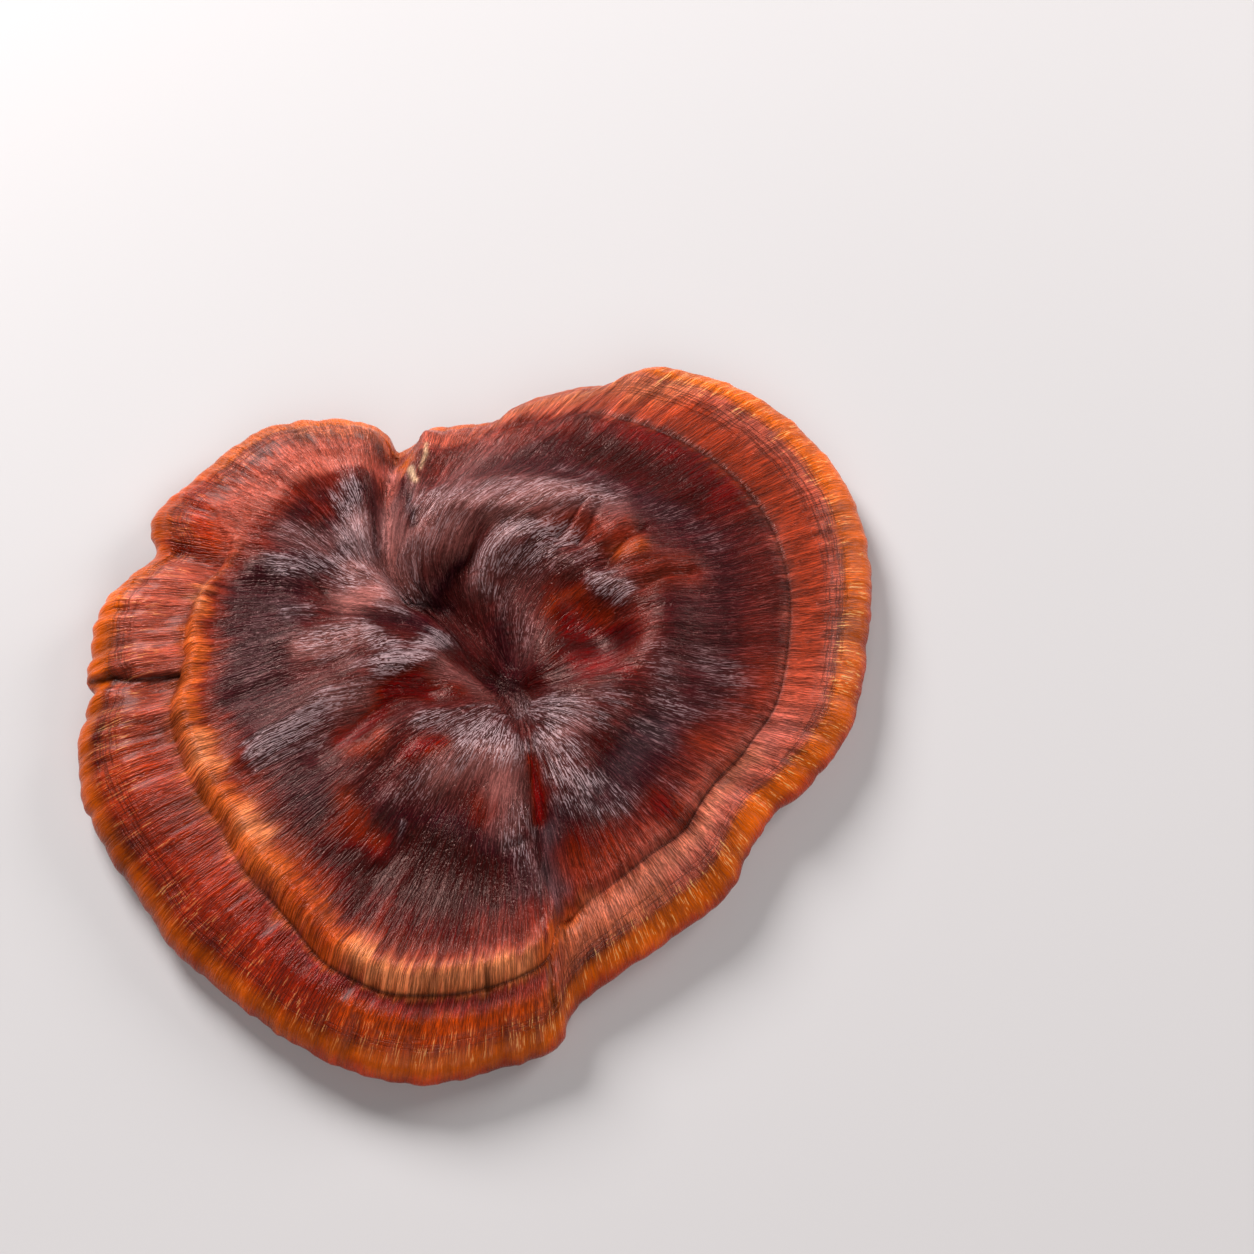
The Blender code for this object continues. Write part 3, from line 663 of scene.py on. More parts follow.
# Patches of colour laid over the washes: pigment, strength, half-width, and course in way and ring.
PATCHES = (
    # Left lobe.
    ("char", 0.45, 2.0, ((0.02, 0.862), (0.05, 0.862), (0.09, 0.865), (0.115, 0.885))),
    ("char", 0.35, 1.2, ((0.05, 0.930), (0.08, 0.948), (0.12, 0.952))),
    ("blood", 0.5, 3.0, ((0.05, 0.55), (0.055, 0.47), (0.08, 0.42), (0.092, 0.42))),
    ("blood", 0.5, 3.2, ((0.085, 0.60), (0.11, 0.58), (0.13, 0.64))),
    ("blood", 0.6, 1.1, ((0.0815, 0.83), (0.0815, 0.6), (0.079, 0.42))),
    ("char", 0.8, 1.6, ((0.030, 0.49), (0.040, 0.465))),
    ("char", 0.8, 1.5, ((0.052, 0.40), (0.053, 0.34))),
    ("char", 0.5, 1.6, ((0.105, 0.30), (0.112, 0.25), (0.105, 0.19))),
    ("blood", 0.75, 2.6, ((0.136, 0.98), (0.140, 0.92), (0.146, 0.86), (0.150, 0.82))),
    ("char", 0.35, 2.0, ((0.138, 0.95), (0.142, 0.88))),
    ("brick", 0.95, 5.5, ((0.105, 0.95), (0.115, 0.90), (0.13, 0.86))),
    ("rust", 0.5, 4.0, ((0.108, 0.93), (0.12, 0.90), (0.135, 0.86))),
    ("brick", 0.45, 7.0, ((0.11, 0.66), (0.125, 0.75), (0.125, 0.84))),
    ("umber", 0.35, 3.0, ((0.105, 1.0), (0.125, 1.0), (0.145, 1.0))),
    ("orange", 0.7, 1.0, ((0.150, 0.955), (0.170, 0.965), (0.205, 0.985))),
    # Between the middle and the growth step.
    ("mahogany", 0.7, 4.0, ((0.39, 0.66), (0.42, 0.66), (0.47, 0.68))),
    ("salmon", 0.7, 1.8, ((0.40, 0.73), (0.44, 0.735), (0.49, 0.74))),
    ("char", 0.7, 2.0, ((0.385, 0.67), (0.378, 0.62))),
    ("garnet", 0.6, 3.0, ((0.32, 0.65), (0.385, 0.655))),
    # Foot crease and its hook.
    ("char", 0.6, 1.6, ((0.511, 0.50), (0.512, 0.60))),
    ("slate", 0.9, 2.2, ((0.506, 0.60), (0.511, 0.68), (0.513, 0.77))),
    ("amber", 0.8, 0.8, ((0.497, 0.82), (0.4955, 0.90), (0.499, 0.97))),
    ("orange", 0.8, 2.2, ((0.506, 0.82), (0.520, 0.815))),
    # Right side.
    ("mahogany", 0.8, 4.5, ((0.525, 0.70), (0.55, 0.72), (0.58, 0.74))),
    ("char", 0.6, 2.2, ((0.583, 0.68), (0.600, 0.70))),
    ("garnet", 0.8, 5.0, ((0.79, 0.70), (0.83, 0.69), (0.87, 0.70))),
    ("blood", 0.9, 3.0, ((0.79, 0.74), (0.83, 0.74), (0.87, 0.76))),
    ("brick", 0.4, 4.0, ((0.925, 0.75), (0.95, 0.80))),
    ("brick", 0.4, 3.0, ((0.52, 0.76), (0.58, 0.75), (0.64, 0.77), (0.69, 0.76))),
    ("salmon", 0.35, 3.0, ((0.56, 0.765), (0.60, 0.76), (0.645, 0.765))),
    ("umber", 0.3, 3.0, ((0.905, 1.0), (0.93, 1.0), (0.955, 1.0))),
    ("amber", 0.9, 1.4, ((0.992, 0.86), (0.992, 0.68))),
    # Bright places on the ridge of the growth step: painted highlights.
    ("peach_highlight", 0.8, 2.2, ((0.262, 0.752), (0.278, 0.742))),
    ("peach_highlight", 0.8, 2.2, ((0.308, 0.735), (0.322, 0.725))),
    ("peach_highlight", 0.6, 1.6, ((0.170, 0.79), (0.186, 0.77))),
    ("peach_highlight", 0.95, 2.2, ((0.40, 0.765), (0.44, 0.770), (0.485, 0.775))),
    ("rust", 0.8, 2.5, ((0.355, 0.75), (0.385, 0.76))),
    # Bright and dark places of the outer zone; the peach and blush ones are painted light.
    ("garnet", 0.25, 3.0, ((0.35, 0.85), (0.375, 0.86), (0.395, 0.86))),
    ("orange", 0.3, 5.0, ((0.41, 0.93), (0.45, 0.94), (0.50, 0.93))),
    ("peach_highlight", 0.45, 3.0, ((0.515, 0.86), (0.56, 0.85), (0.60, 0.85), (0.64, 0.85))),
    ("blush", 0.40, 4.0, ((0.53, 0.86), (0.60, 0.86), (0.66, 0.86))),
    ("peach_highlight", 0.30, 3.0, ((0.515, 0.93), (0.56, 0.92))),
    ("peach_highlight", 0.30, 4.0, ((0.86, 0.92), (0.90, 0.92), (0.94, 0.92))),
    ("peach_highlight", 0.25, 4.0, ((0.0, 0.92), (0.05, 0.91))),
)

# Patches of the middle, laid over those: pigment, strength, half-width, and course in plan.
SPOTS = (
    # Darks of the middle.
    ("char", 0.8, 2.4, ((-28, 16), (-20, 15), (-12, 15))),
    ("char", 0.95, 3.0, ((-14, 15), (-8, 11), (-3, 6), (2, 4), (6, 3))),
    ("char", 0.7, 2.4, ((4, 14), (6, 8), (7, 3))),
    ("char", 1.0, 1.8, ((-4, 29), (-7, 26), (-11, 23), (-7, 20))),
    ("garnet", 0.9, 2.8, ((-5, 7), (0, 5))),
    ("garnet", 0.95, 4.5, ((25, 54), (33, 52), (42, 49), (47, 45))),
    ("char", 0.5, 3.0, ((33, 41), (43, 37))),
    ("char", 0.8, 2.6, ((-33, -27), (-30, -30))),
    ("char", 0.7, 3.0, ((-22, -38), (-18, -41))),
    ("char", 0.75, 4.0, ((-11, -35), (-5, -34), (1, -37))),
    ("char", 0.6, 3.0, ((-8, -44), (-2, -42))),
    ("garnet", 0.7, 5.0, ((-14, -38), (-4, -41), (4, -44))),
    ("garnet", 0.8, 4.5, ((-25, -35), (-18, -43), (-8, -48))),
    ("garnet", 0.5, 4.0, ((-33, -41), (-18, -52), (-3, -56))),
    ("garnet", 0.7, 2.8, ((12, 2), (18, 1), (24, 2))),
    ("mahogany", 0.8, 3.2, ((32, 15), (35, 10), (34, 4))),
    ("char", 0.5, 3.0, ((12, 4), (20, 0), (30, -2))),
    ("char", 0.9, 3.2, ((36, -11), (31, -15), (28, -20), (25, -26))),
    ("char", 0.6, 2.6, ((23, -28), (17, -31))),
    ("garnet", 0.6, 3.0, ((23, -13), (26, -15))),
    ("slate", 0.4, 3.0, ((38, -12), (33, -16), (30, -21))),
    ("slate", 0.7, 2.2, ((15, -33), (17, -39), (18, -45))),
    # Bare reds.
    ("blood", 1.0, 2.2, ((-20, -4), (-17, -2), (-12, 1))),
    ("blood", 0.9, 2.4, ((-20, -7), (-23, -12), (-26, -15))),
    ("ember", 0.7, 1.8, ((-25, -17), (-20, -17), (-19, -15))),
    ("blood", 1.0, 2.0, ((-13, -18), (-9, -17), (-6, -16))),
    ("blood", 0.6, 2.0, ((-10, -2), (-4, -2))),
    ("blood", 0.6, 2.4, ((1, -28), (5, -30), (2, -31))),
    ("blood", 1.0, 4.2, ((17, 18), (20, 12), (25, 7), (23, 2))),
    ("rust", 0.5, 2.6, ((18, 18), (22, 16), (26, 14))),
    ("blood", 0.8, 2.0, ((17, 7), (25, 2), (31, 0))),
    ("garnet", 0.85, 3.0, ((15, 8), (22, 9), (30, 9))),
    ("blood", 0.6, 4.0, ((36, 57), (46, 53), (54, 45))),
    ("blood", 0.7, 2.6, ((36, -28), (41, -31))),
    ("blood", 0.5, 3.0, ((17, -38), (25, -37))),
    ("blood", 1.0, 1.2, ((11, -18), (12, -22), (13, -27), (13, -31))),
    ("brick", 0.8, 1.2, ((14, 16), (16, 19), (22, 20))),
    # Rust and orange.
    ("umber", 0.55, 2.6, ((-26, -27), (-24, -31), (-27, -34))),
    ("brick", 0.5, 2.4, ((-23, -34), (-19, -36))),
    ("brick", 0.6, 2.6, ((-36, -38), (-34, -41), (-29, -45))),
    ("brick", 0.5, 3.0, ((45, -14), (50, -17))),
    ("brick", 0.6, 3.2, ((20, -41), (25, -42), (29, -39))),
    ("brick", 0.8, 2.0, ((14, 35), (20, 35))),
    ("ember", 0.7, 3.0, ((20, 33), (26, 33), (31, 28))),
    ("orange", 0.4, 2.0, ((29, 27), (33, 28))),
    ("brick", 0.5, 4.2, ((36, 22), (43, 24))),
    ("brick", 0.6, 1.8, ((30, 34), (32, 32))),
    # Pinks.
    # On the crest of the whorl the pink is partly painted highlight.
    ("rose", 0.6, 3.6, ((-11, 39), (0, 40), (10, 41), (21, 39), (28, 37))),
    ("blush", 0.4, 3.0, ((3, 36), (11, 38), (19, 40))),
    # Partly painted light: the left end of the crest is made brighter pink where shade falls.
    ("blush", 0.9, 3.0, ((-16, 28), (-10, 32), (-4, 35))),
    ("rose", 0.4, 4.0, ((-5, 46), (-1, 51), (3, 55))),
    ("rose", 0.6, 2.6, ((0, 24), (2, 28), (6, 31))),
    ("rose", 0.2, 4.0, ((8, 21), (12, 14), (12, 8))),
    ("blush", 0.8, 3.0, ((-25, 37), (-24, 31), (-26, 27))),
    ("rose", 0.5, 3.0, ((-32, 32), (-41, 33))),
    # Painted light: the pale strand colour lifts the notch strip and the lobe hollow out of the shade that falls
    # there.
    ("frost_sheen", 0.5, 2.2, ((-20, 41), (-20, 36), (-18, 30))),
    ("frost_sheen", 0.35, 3.0, ((-22, 30), (-26, 34))),
    ("blush", 0.9, 3.2, ((-20, 30), (-21, 22), (-27, 18))),
    ("blush", 0.75, 2.4, ((-36, 6), (-30, 8), (-25, 10))),
    ("blush", 0.2, 2.6, ((-8, 4), (-2, 2), (2, -2))),
    ("rose", 0.25, 2.6, ((-15, 44), (-13, 37), (-10, 33))),
    ("rose", 0.45, 3.0, ((7, -22), (7, -28), (6, -34))),
    ("blush", 0.5, 2.4, ((-28, -7), (-23, -4))),
    # Partly painted highlight: pink where the near hump catches the light.
    ("blush", 0.55, 3.2, ((-7, -22), (0, -20), (6, -20), (5, -25))),
    ("rose", 0.6, 2.0, ((17, -15), (23, -10))),
    # Strip in the notch, with its dark sides and its torn flake.
    ("blush", 0.9, 2.4, ((-19, 52), (-20, 44), (-19.5, 37), (-18, 30))),
    ("brick", 0.5, 1.6, ((-20, 47), (-20, 43))),
    ("char", 0.7, 0.8, ((-23, 49), (-23, 42), (-22.5, 36), (-22, 31))),
    ("char", 0.8, 1.0, ((-17, 46), (-15, 38), (-13.5, 33))),
    ("garnet", 0.7, 1.5, ((-22, 56), (-21, 54))),
    ("amber", 0.9, 1.5, ((-17, 51), (-16, 51))),
    ("cream", 1.0, 0.6, ((-15, 48), (-14, 45))),
    ("cream", 0.8, 0.35, ((-13, 48), (-12, 52), (-12, 55))),
)

# Where the lacquer's sheen is painted as pale, hair-like strands: strength, half-width, and course in plan.
FROST_SHEEN = (
    # Left lobe and west slope.
    (0.75, 3.2, ((-28, 44), (-27, 37), (-28, 31), (-30, 26))),
    (0.85, 2.6, ((-25, 38), (-24, 32), (-25, 28))),
    (0.70, 3.2, ((-31, 27), (-36, 28), (-42, 26))),
    (0.50, 3.0, ((-33, 33), (-40, 34))),
    (0.40, 5.0, ((-41, 23), (-45, 13), (-46, 1))),
    (0.75, 3.0, ((-28, 24), (-21, 26), (-19, 23), (-15, 23))),
    (0.70, 1.8, ((-20, 18), (-16, 17))),
    (0.60, 2.4, ((-40, 15), (-35, 15))),
    (0.75, 2.4, ((-35, 7), (-30, 9), (-24, 11))),
    (0.55, 1.8, ((-32, 4), (-27, 6))),
    (0.85, 2.4, ((-24, 11), (-20, 8), (-17, 6))),
    (1.00, 2.4, ((-8, 11), (-12, 7), (-16, 4), (-19, 2))),
    (0.55, 2.0, ((-25, 2), (-21, 3))),
    (0.35, 4.0, ((-38, 1), (-30, 1))),
    (0.95, 2.2, ((-44, -17), (-38, -14), (-33, -10), (-29, -7))),
    (0.65, 2.0, ((-28, -6), (-22, -3), (-19, -1))),
    (0.50, 2.4, ((-43, -20), (-37, -17), (-31, -15))),
    (0.30, 3.0, ((-37, -23), (-27, -20))),
    (0.35, 2.6, ((-17, -11), (-12, -5))),
    (0.40, 3.4, ((-8, 4), (-1, 1))),
    # South of the pit.
    (0.65, 3.2, ((-10, -10), (-4, -11), (3, -8))),
    (0.70, 2.6, ((10, -4), (12, -6))),
    (0.95, 3.6, ((-2, -15), (3, -13), (6, -16))),
    (0.55, 2.6, ((-9, -21), (-3, -20), (3, -18))),
    (0.55, 2.2, ((-13, -23), (-9, -22))),
    (0.45, 3.2, ((-16, -27), (-10, -26))),
    (0.60, 2.8, ((5, -31), (9, -30), (11, -32))),
    (0.60, 3.4, ((8, -35), (10, -38), (11, -42))),
    (0.50, 3.2, ((5, -43), (12, -46))),
    (0.35, 3.4, ((2, -38), (0, -44), (-2, -49))),
    (0.80, 0.7, ((-14, -32), (-15, -37), (-17, -40))),
    # East of the foot crease.
    (0.85, 3.4, ((15, -6), (19, -9), (24, -11))),
    (0.85, 3.2, ((15, -14), (20, -17))),
    (0.80, 2.8, ((17, -22), (23, -25))),
    (0.60, 2.8, ((17, -28), (23, -30), (28, -30))),
    (0.55, 3.2, ((25, -5), (28, -8))),
    (0.50, 3.0, ((29, -26), (35, -28))),
    (0.40, 3.0, ((37, -23), (42, -26))),
    (0.50, 4.2, ((36, 3), (38, -1), (39, -7), (43, -9))),
    (0.45, 4.5, ((46, 3), (53, -1))),
    (0.40, 4.0, ((46, -5), (54, -9))),
    (0.30, 4.0, ((43, -15), (50, -20))),
    (0.45, 3.2, ((33, -12), (39, -16))),
    # Whorl.
    (0.90, 2.4, ((1, 27), (3, 30), (6, 33), (14, 33), (19, 31))),
    (0.70, 2.4, ((4, 26), (8, 28), (15, 28))),
    (0.60, 1.8, ((0, 24), (3, 21))),
    (0.50, 2.4, ((11, 24), (17, 25), (23, 27))),
    (0.70, 2.2, ((-16, 28), (-13, 29), (-9, 33), (-4, 36))),
    (0.66, 4.0, ((-11, 37), (-6, 40), (2, 41), (10, 41), (19, 41), (25, 41))),
    (0.35, 3.0, ((-15, 46), (-14, 38), (-11, 33))),
    (0.45, 2.4, ((16, 49), (23, 47), (29, 44))),
    (0.40, 3.6, ((35, 40), (44, 37), (49, 31))),
    (0.80, 2.0, ((24, 22), (27, 20), (30, 18))),
    (0.40, 1.6, ((17, 19), (23, 20))),
    (0.35, 3.0, ((4, 53), (12, 55))),
    (0.45, 3.0, ((5, 20), (9, 14), (11, 9))),
    (0.40, 2.2, ((18, -3), (23, -1))),
)
# Bands of pale radial ticks, which are painted glints, and of close concentric lines at the margin: way, inner
# ring, outer ring, weight.
GLINT_TICKS = (
    (0.0, 0.9, 0.97, 0.1), (0.2, 0.86, 0.98, 0.4), (0.3, 0.92, 1.0, 0.6), (0.45, 0.94, 1.02, 0.7),
    (0.52, 0.95, 1.03, 0.9), (0.65, 0.96, 1.04, 1.2), (0.88, 0.93, 1.03, 1.0), (0.92, 0.93, 1.0, 0.2),
    (1.0, 0.9, 0.97, 0.1),
)
LINES = (
    (0.0, 0.88, 0.96, 0.2), (0.05, 0.85, 0.96, 0.6), (0.12, 0.88, 0.96, 0.7), (0.16, 0.92, 0.98, 0.7),
    (0.25, 0.93, 0.98, 0.8), (0.36, 0.95, 0.99, 0.5), (0.48, 0.95, 1.0, 0.4), (0.53, 0.92, 0.98, 0.8),
    (0.62, 0.92, 0.97, 0.6), (0.72, 0.91, 0.97, 0.8), (0.80, 0.89, 0.965, 1.0), (0.87, 0.87, 0.96, 0.9),
    (0.90, 0.88, 0.95, 0.1), (1.0, 0.88, 0.96, 0.2),
)
TICK_SOFT = 0.02
LINE_SOFT = 0.012

# Pale strands, the lacquer's sheen painted into the colour: how thickly they lie everywhere, the weight and the
# widening of their courses, the bare pigments and how far these thin them, the rings over which they end, and
# how much of their colour is painted.
FROST_GROUND = 0.26
FROST_WEIGHT = 0.9
FROST_WIDENING = 1.5
BARE = ("blood", "garnet")
BARE_THINNING = 0.8
FROST_END = (0.80, 0.84)
FROST_PAINT = 0.08
# How far edges run out in streaks: as a share of the half-width in plan, and in rings. Washes softer than
# SHARP_WASH and patches wider than NARROW_PATCH have such edges. Spots end at SPOTS_END.
STREAK_REACH = 0.9
STREAK_RINGS = 0.05
SHARP_WASH = 0.02
NARROW_PATCH = 1.5
SPOTS_END = 0.9
# How strongly the streaks lay painted shade and highlight along the strands, and the rings over which the painted
# shade and highlight of the ripples, and the flecks, come in.
STREAK_SHADE = 0.30
RIPPLE_START = (0.72, 0.76)
FLECK_START = (0.66, 0.72)
# Cracks are painted wider and stronger than they are deep, and get painted shade as dark as the groove's.
CRACK_SPREAD = 1.3
GROOVE_PAINTED_SHADE = 0.8
# White that the sheen of the lacquer lays over every pigment, so it is taken off the paint.
SHEEN = 0.014
DARKEST = 0.001


def band(way, ring, rows, soft):
    """1 between the inner and outer ring that the rows give for each way, times their weight."""
    inner, outer, weight = (table(rows, column, way) for column in (1, 2, 3))
    inside = window(ring, inner, outer, soft)
    first, last = rows[0][0], rows[-1][0]
    return inside * weight * (way >= first - 1e-9) * (way <= last + 1e-9)


def on_course(plan, streak, course, width):
    """1 on a course in plan, falling off over width millimetres, with an edge that runs out in streaks."""
    return falloff(np.maximum(distance_to(plan, course) + width * STREAK_REACH * streak, 0.0), width)


def frost_of(way, ring):
    """How thickly pale strands of painted sheen lie at each point of the top."""
    plan, streak = plan_of(way, ring), streaks(way, ring)
    frost_sheen = np.full(len(way), FROST_GROUND)
    for strength, width, course in FROST_SHEEN:
        laid = FROST_WEIGHT * strength * on_course(plan, streak, course, width * FROST_WIDENING)
        frost_sheen = np.maximum(frost_sheen, laid)
    for name, strength, width, course in SPOTS:
        if name in BARE:
            frost_sheen *= 1.0 - BARE_THINNING * strength * on_course(plan, streak, course, width)
    return frost_sheen * (1.0 - ease(*FROST_END, ring))


def lay(colour, settings, name, mask):
    """Lay a pigment over the colour, as thickly as the mask says."""
    colour += (np.array(getattr(settings, name)) - colour) * mask[:, None]


def tint_of(way, ring, frost_sheen, settings):
    """Colour of the top at each point, laid down as washes and patches whose edges run out in streaks."""
    strand = combed(way, ring)[0]
    plan, streak = plan_of(way, ring), streaks(way, ring)
    ragged = ring + STREAK_RINGS * streak + grain("fray", strand, ring)
    drifted = way + grain("drift", way, ring)
    colour = np.tile(np.array(settings.maroon), (len(way), 1))
    for name, strength, soft, rows in WASHES:
        edge = ring if soft < SHARP_WASH else ragged
        lay(colour, settings, name, strength * band(way, edge, rows, soft))
    for name, strength, width, course in PATCHES:
        edge = ragged if width > NARROW_PATCH else ring
        lay(colour, settings, name, strength * along_course(drifted, edge, course, width))
    for name, strength, width, course in SPOTS:
        mask = strength * on_course(plan, streak, course, width)
        lay(colour, settings, name, mask * (ring < SPOTS_END))
    # Painted sheen: a little of the pale strand colour where the sheen strands lie.
    lay(colour, settings, "frost_sheen", FROST_PAINT * frost_sheen)
    # Painted shade and highlight along the strands and on the ripples of the folds; the mottle and flecks are
    # tone.
    rippled = ease(*RIPPLE_START, ring)
    shade = 1.0 + STREAK_SHADE * streak + grain("mottle", strand, ring)
    shade += grain("fold_shading", strand, ring, rippled) + grain("narrow_fold_shading", strand, ring, rippled)
    shade += grain("fleck", strand, ring, ease(*FLECK_START, ring))
    # Painted shade in the groove at the foot of the growth step and in the cracks.
    groove = groove_of(way, ring, GROOVE_PAINT_WIDTH)
    for deep, width, course in CRACKS:
        crack = along_course(way, ring, course, width * CRACK_SPREAD)
        groove = np.maximum(groove, min(1.0, CRACK_SPREAD * deep) * crack)
    colour = np.maximum(colour - SHEEN, DARKEST)
    return np.clip(colour * (shade * (1.0 - GROOVE_PAINTED_SHADE * groove))[:, None], 0.0, 1.0)


def sheen_and_lines_of(way, ring, frost_sheen):
    """Three masks for each point of the top: pale strands of painted sheen, pale ticks of painted glints, and
    concentric lines.
    """
    ragged = ring + STREAK_RINGS * streaks(way, ring)
    return np.column_stack([frost_sheen, band(way, ragged, GLINT_TICKS, TICK_SOFT), band(way, ring, LINES, LINE_SOFT)])


# ---------------------------------------------------------------- mesh


def ring_rows():
    """The ring coordinate of every row, and the rows themselves, from the top pole to the bottom one."""
    turn = np.arange(COLUMNS) / COLUMNS
    way = turn - NOTCH_CROWDING * np.sin(math.tau * turn) / math.tau
    rings = np.concatenate([np.linspace(low, high, count, endpoint=False) for low, high, count in RING_RUNS])
    rows = [top_surface(way, np.full(COLUMNS, ring)) for ring in rings]
    last = len(RIM_SECTION) - 1
    for index in np.linspace(0.0, last, RIM_ROWS):
        rings = np.append(rings, 1.0 + (RIM_END - 1.0) * index / last)
        rows.append(rim_surface(way, index))
    for share in PORE_SHARES:
        rings = np.append(rings, RIM_END + (1.0 - share) * PORE_RINGS)
        rows.append(pore_surface(way, share))
    for factor, height in STEM_ROWS:
        rings = np.append(rings, STEM_RING + (1.0 - factor) * STEM_RINGS)
        rows.append(stem_surface(way, factor, height))
    return way, rings, np.array(rows)


def outward_normals(rows):
    """Unit normals of a grid whose columns close on themselves and whose rows run from the top to the bottom."""
    across = np.roll(rows, -1, axis=1) - np.roll(rows, 1, axis=1)
    down = np.gradient(rows, axis=0)
    normals = np.cross(down, across)
    return normals / np.maximum(np.linalg.norm(normals, axis=2, keepdims=True), 1e-9)


def deselect():
    for item in bpy.context.selected_objects:
        item.select_set(False)


def build_cap(settings):
    way, rings, rows = ring_rows()
    count = len(rings)
    ways, ring = np.tile(way, count), np.repeat(rings, COLUMNS)
    relief = (fine_relief(ways, ring) * settings.relief).reshape(count, COLUMNS, 1)
    rows = rows + outward_normals(rows) * relief
    middle = np.array([*CENTRE_OF_PLAN, 0.0])
    poles = np.array([[*POLE, rows[0, :, 2].mean()], [*STEM_CENTRE, 0.0]])
    deselect()
    bpy.ops.mesh.primitive_grid_add(x_subdivisions=COLUMNS, y_subdivisions=count + 1, size=2.0, calc_uvs=False)
    cap = bpy.context.active_object
    cap.name = cap.data.name = "cap_body"
    mesh = cap.data
    place = np.empty(len(mesh.vertices) * 3)
    mesh.vertices.foreach_get("co", place)
    place = place.reshape(-1, 3)
    row = np.rint((1.0 - place[:, 1]) / 2.0 * (count + 1)).astype(int)
    column = np.rint((place[:, 0] + 1.0) / 2.0 * COLUMNS).astype(int) % COLUMNS
    inner = np.clip(row - 1, 0, count - 1)
    place = np.where(row[:, None] == 0, poles[0], rows[inner, column])
    place = np.where(row[:, None] == count + 1, poles[1], place)
    mesh.vertices.foreach_set("co", ((place - middle) * MM).ravel())
    source = inner * COLUMNS + column
    strand, run, spread = combed(ways, ring)
    turn = math.tau * strand
    frost_sheen = frost_of(ways, ring)
    tint = tint_of(ways, ring, frost_sheen, settings)
    layers = {
        "growth": ("FLOAT_VECTOR", "vector", np.column_stack([np.cos(turn), np.sin(turn), run])),
        "reach": ("FLOAT_VECTOR", "vector", np.column_stack([ring, spread, np.zeros(len(ring))])),
        "finish": ("FLOAT_VECTOR", "vector", sheen_and_lines_of(ways, ring, frost_sheen)),
        "tint": ("FLOAT_COLOR", "color", np.column_stack([tint, np.ones(len(ways))])),
    }
    for name, (kind, field, values) in layers.items():
        values = values[source].ravel().astype(np.float32)
        mesh.attributes.new(name, kind, "POINT").data.foreach_set(field, values)
    corners = np.empty(len(mesh.loops), np.int32)
    mesh.loops.foreach_get("vertex_index", corners)
    lowest = ring[source][corners].reshape(-1, 4).min(axis=1)
    slots = np.where(lowest > CUT_RING, 2, np.where(lowest > RIM_END - RING_SLACK, 1, 0))
    mesh.polygons.foreach_set("material_index", slots.astype(np.int32))
    bpy.ops.object.mode_set(mode="EDIT")
    bpy.ops.mesh.select_all(action="SELECT")
    bpy.ops.mesh.remove_doubles(threshold=1e-7)
    bpy.ops.mesh.normals_make_consistent(inside=False)
    bpy.ops.object.mode_set(mode="OBJECT")
    mesh.shade_smooth()
    return cap


# ---------------------------------------------------------------- materials

# The lacquer: its reflection, the thin coat of the outer zone, and how far its roughness spans either way.
LACQUER_SPECULAR = 0.24
LACQUER_TINT = (1.0, 0.50, 0.42, 1.0)
COAT_WEIGHT = 0.08
COAT_ROUGHNESS = 0.25
ROUGHNESS_SPAN = 0.08
# Depth of each bump in metres.
LACQUER_BUMP = 0.00075
PORE_BUMP = 0.00015
STEM_BUMP = 0.0002


def put(tree, socket, value):
    if isinstance(value, bpy.types.NodeSocket):
        tree.links.new(value, socket)
    else:
        socket.default_value = value


def add(tree, kind, inputs=None, **settings):
    """A node with its settings and inputs; an input is a value or another node's output."""
    made = tree.nodes.new("ShaderNode" + kind)
    for name, value in settings.items():
        setattr(made, name, value)
    for key, value in (inputs or {}).items():
        put(tree, made.inputs[key], value)
    return made


def calc(tree, operation, *values):
    return add(tree, "Math", dict(enumerate(values)), operation=operation).outputs[0]


def ramp(tree, value, low, high, start=0.0, end=1.0):
    """Smooth rise from start to end while value goes from low to high."""
    inputs = {"Value": value, "From Min": low, "From Max": high, "To Min": start, "To Max": end}
    return add(tree, "MapRange", inputs, interpolation_type="SMOOTHSTEP").outputs["Result"]


def blend(tree, share, first, second):
    made = add(tree, "Mix", {0: share, 6: first, 7: second}, data_type="RGBA")
    return made.outputs[2]


def tone(tree, colour, factor):
    """The colour times a value."""
    return add(tree, "VectorMath", {0: colour, "Scale": factor}, operation="SCALE").outputs[0]


def noise(tree, vector, scale, detail=2.0, roughness=0.5):
    inputs = {"Vector": vector, "Scale": scale, "Detail": detail, "Roughness": roughness}
    return add(tree, "TexNoise", inputs, noise_dimensions="3D").outputs[0]


def place_of(tree):
    return add(tree, "TexCoord").outputs["Object"]


def layer(tree, name, output="Vector"):
    """A layer that the mesh carries."""
    return add(tree, "Attribute", attribute_name=name).outputs[output]


def split(tree, vector):
    return add(tree, "SeparateXYZ", {0: vector}).outputs


def dress(tree, shader, colour, roughness, strength, distance, height):
    """Colour, roughness and bump of a shader."""
    bump = add(tree, "Bump", {"Strength": strength, "Distance": distance, "Height": height})
    for name, value in (("Base Color", colour), ("Roughness", roughness), ("Normal", bump.outputs[0])):
        put(tree, shader.inputs[name], value)


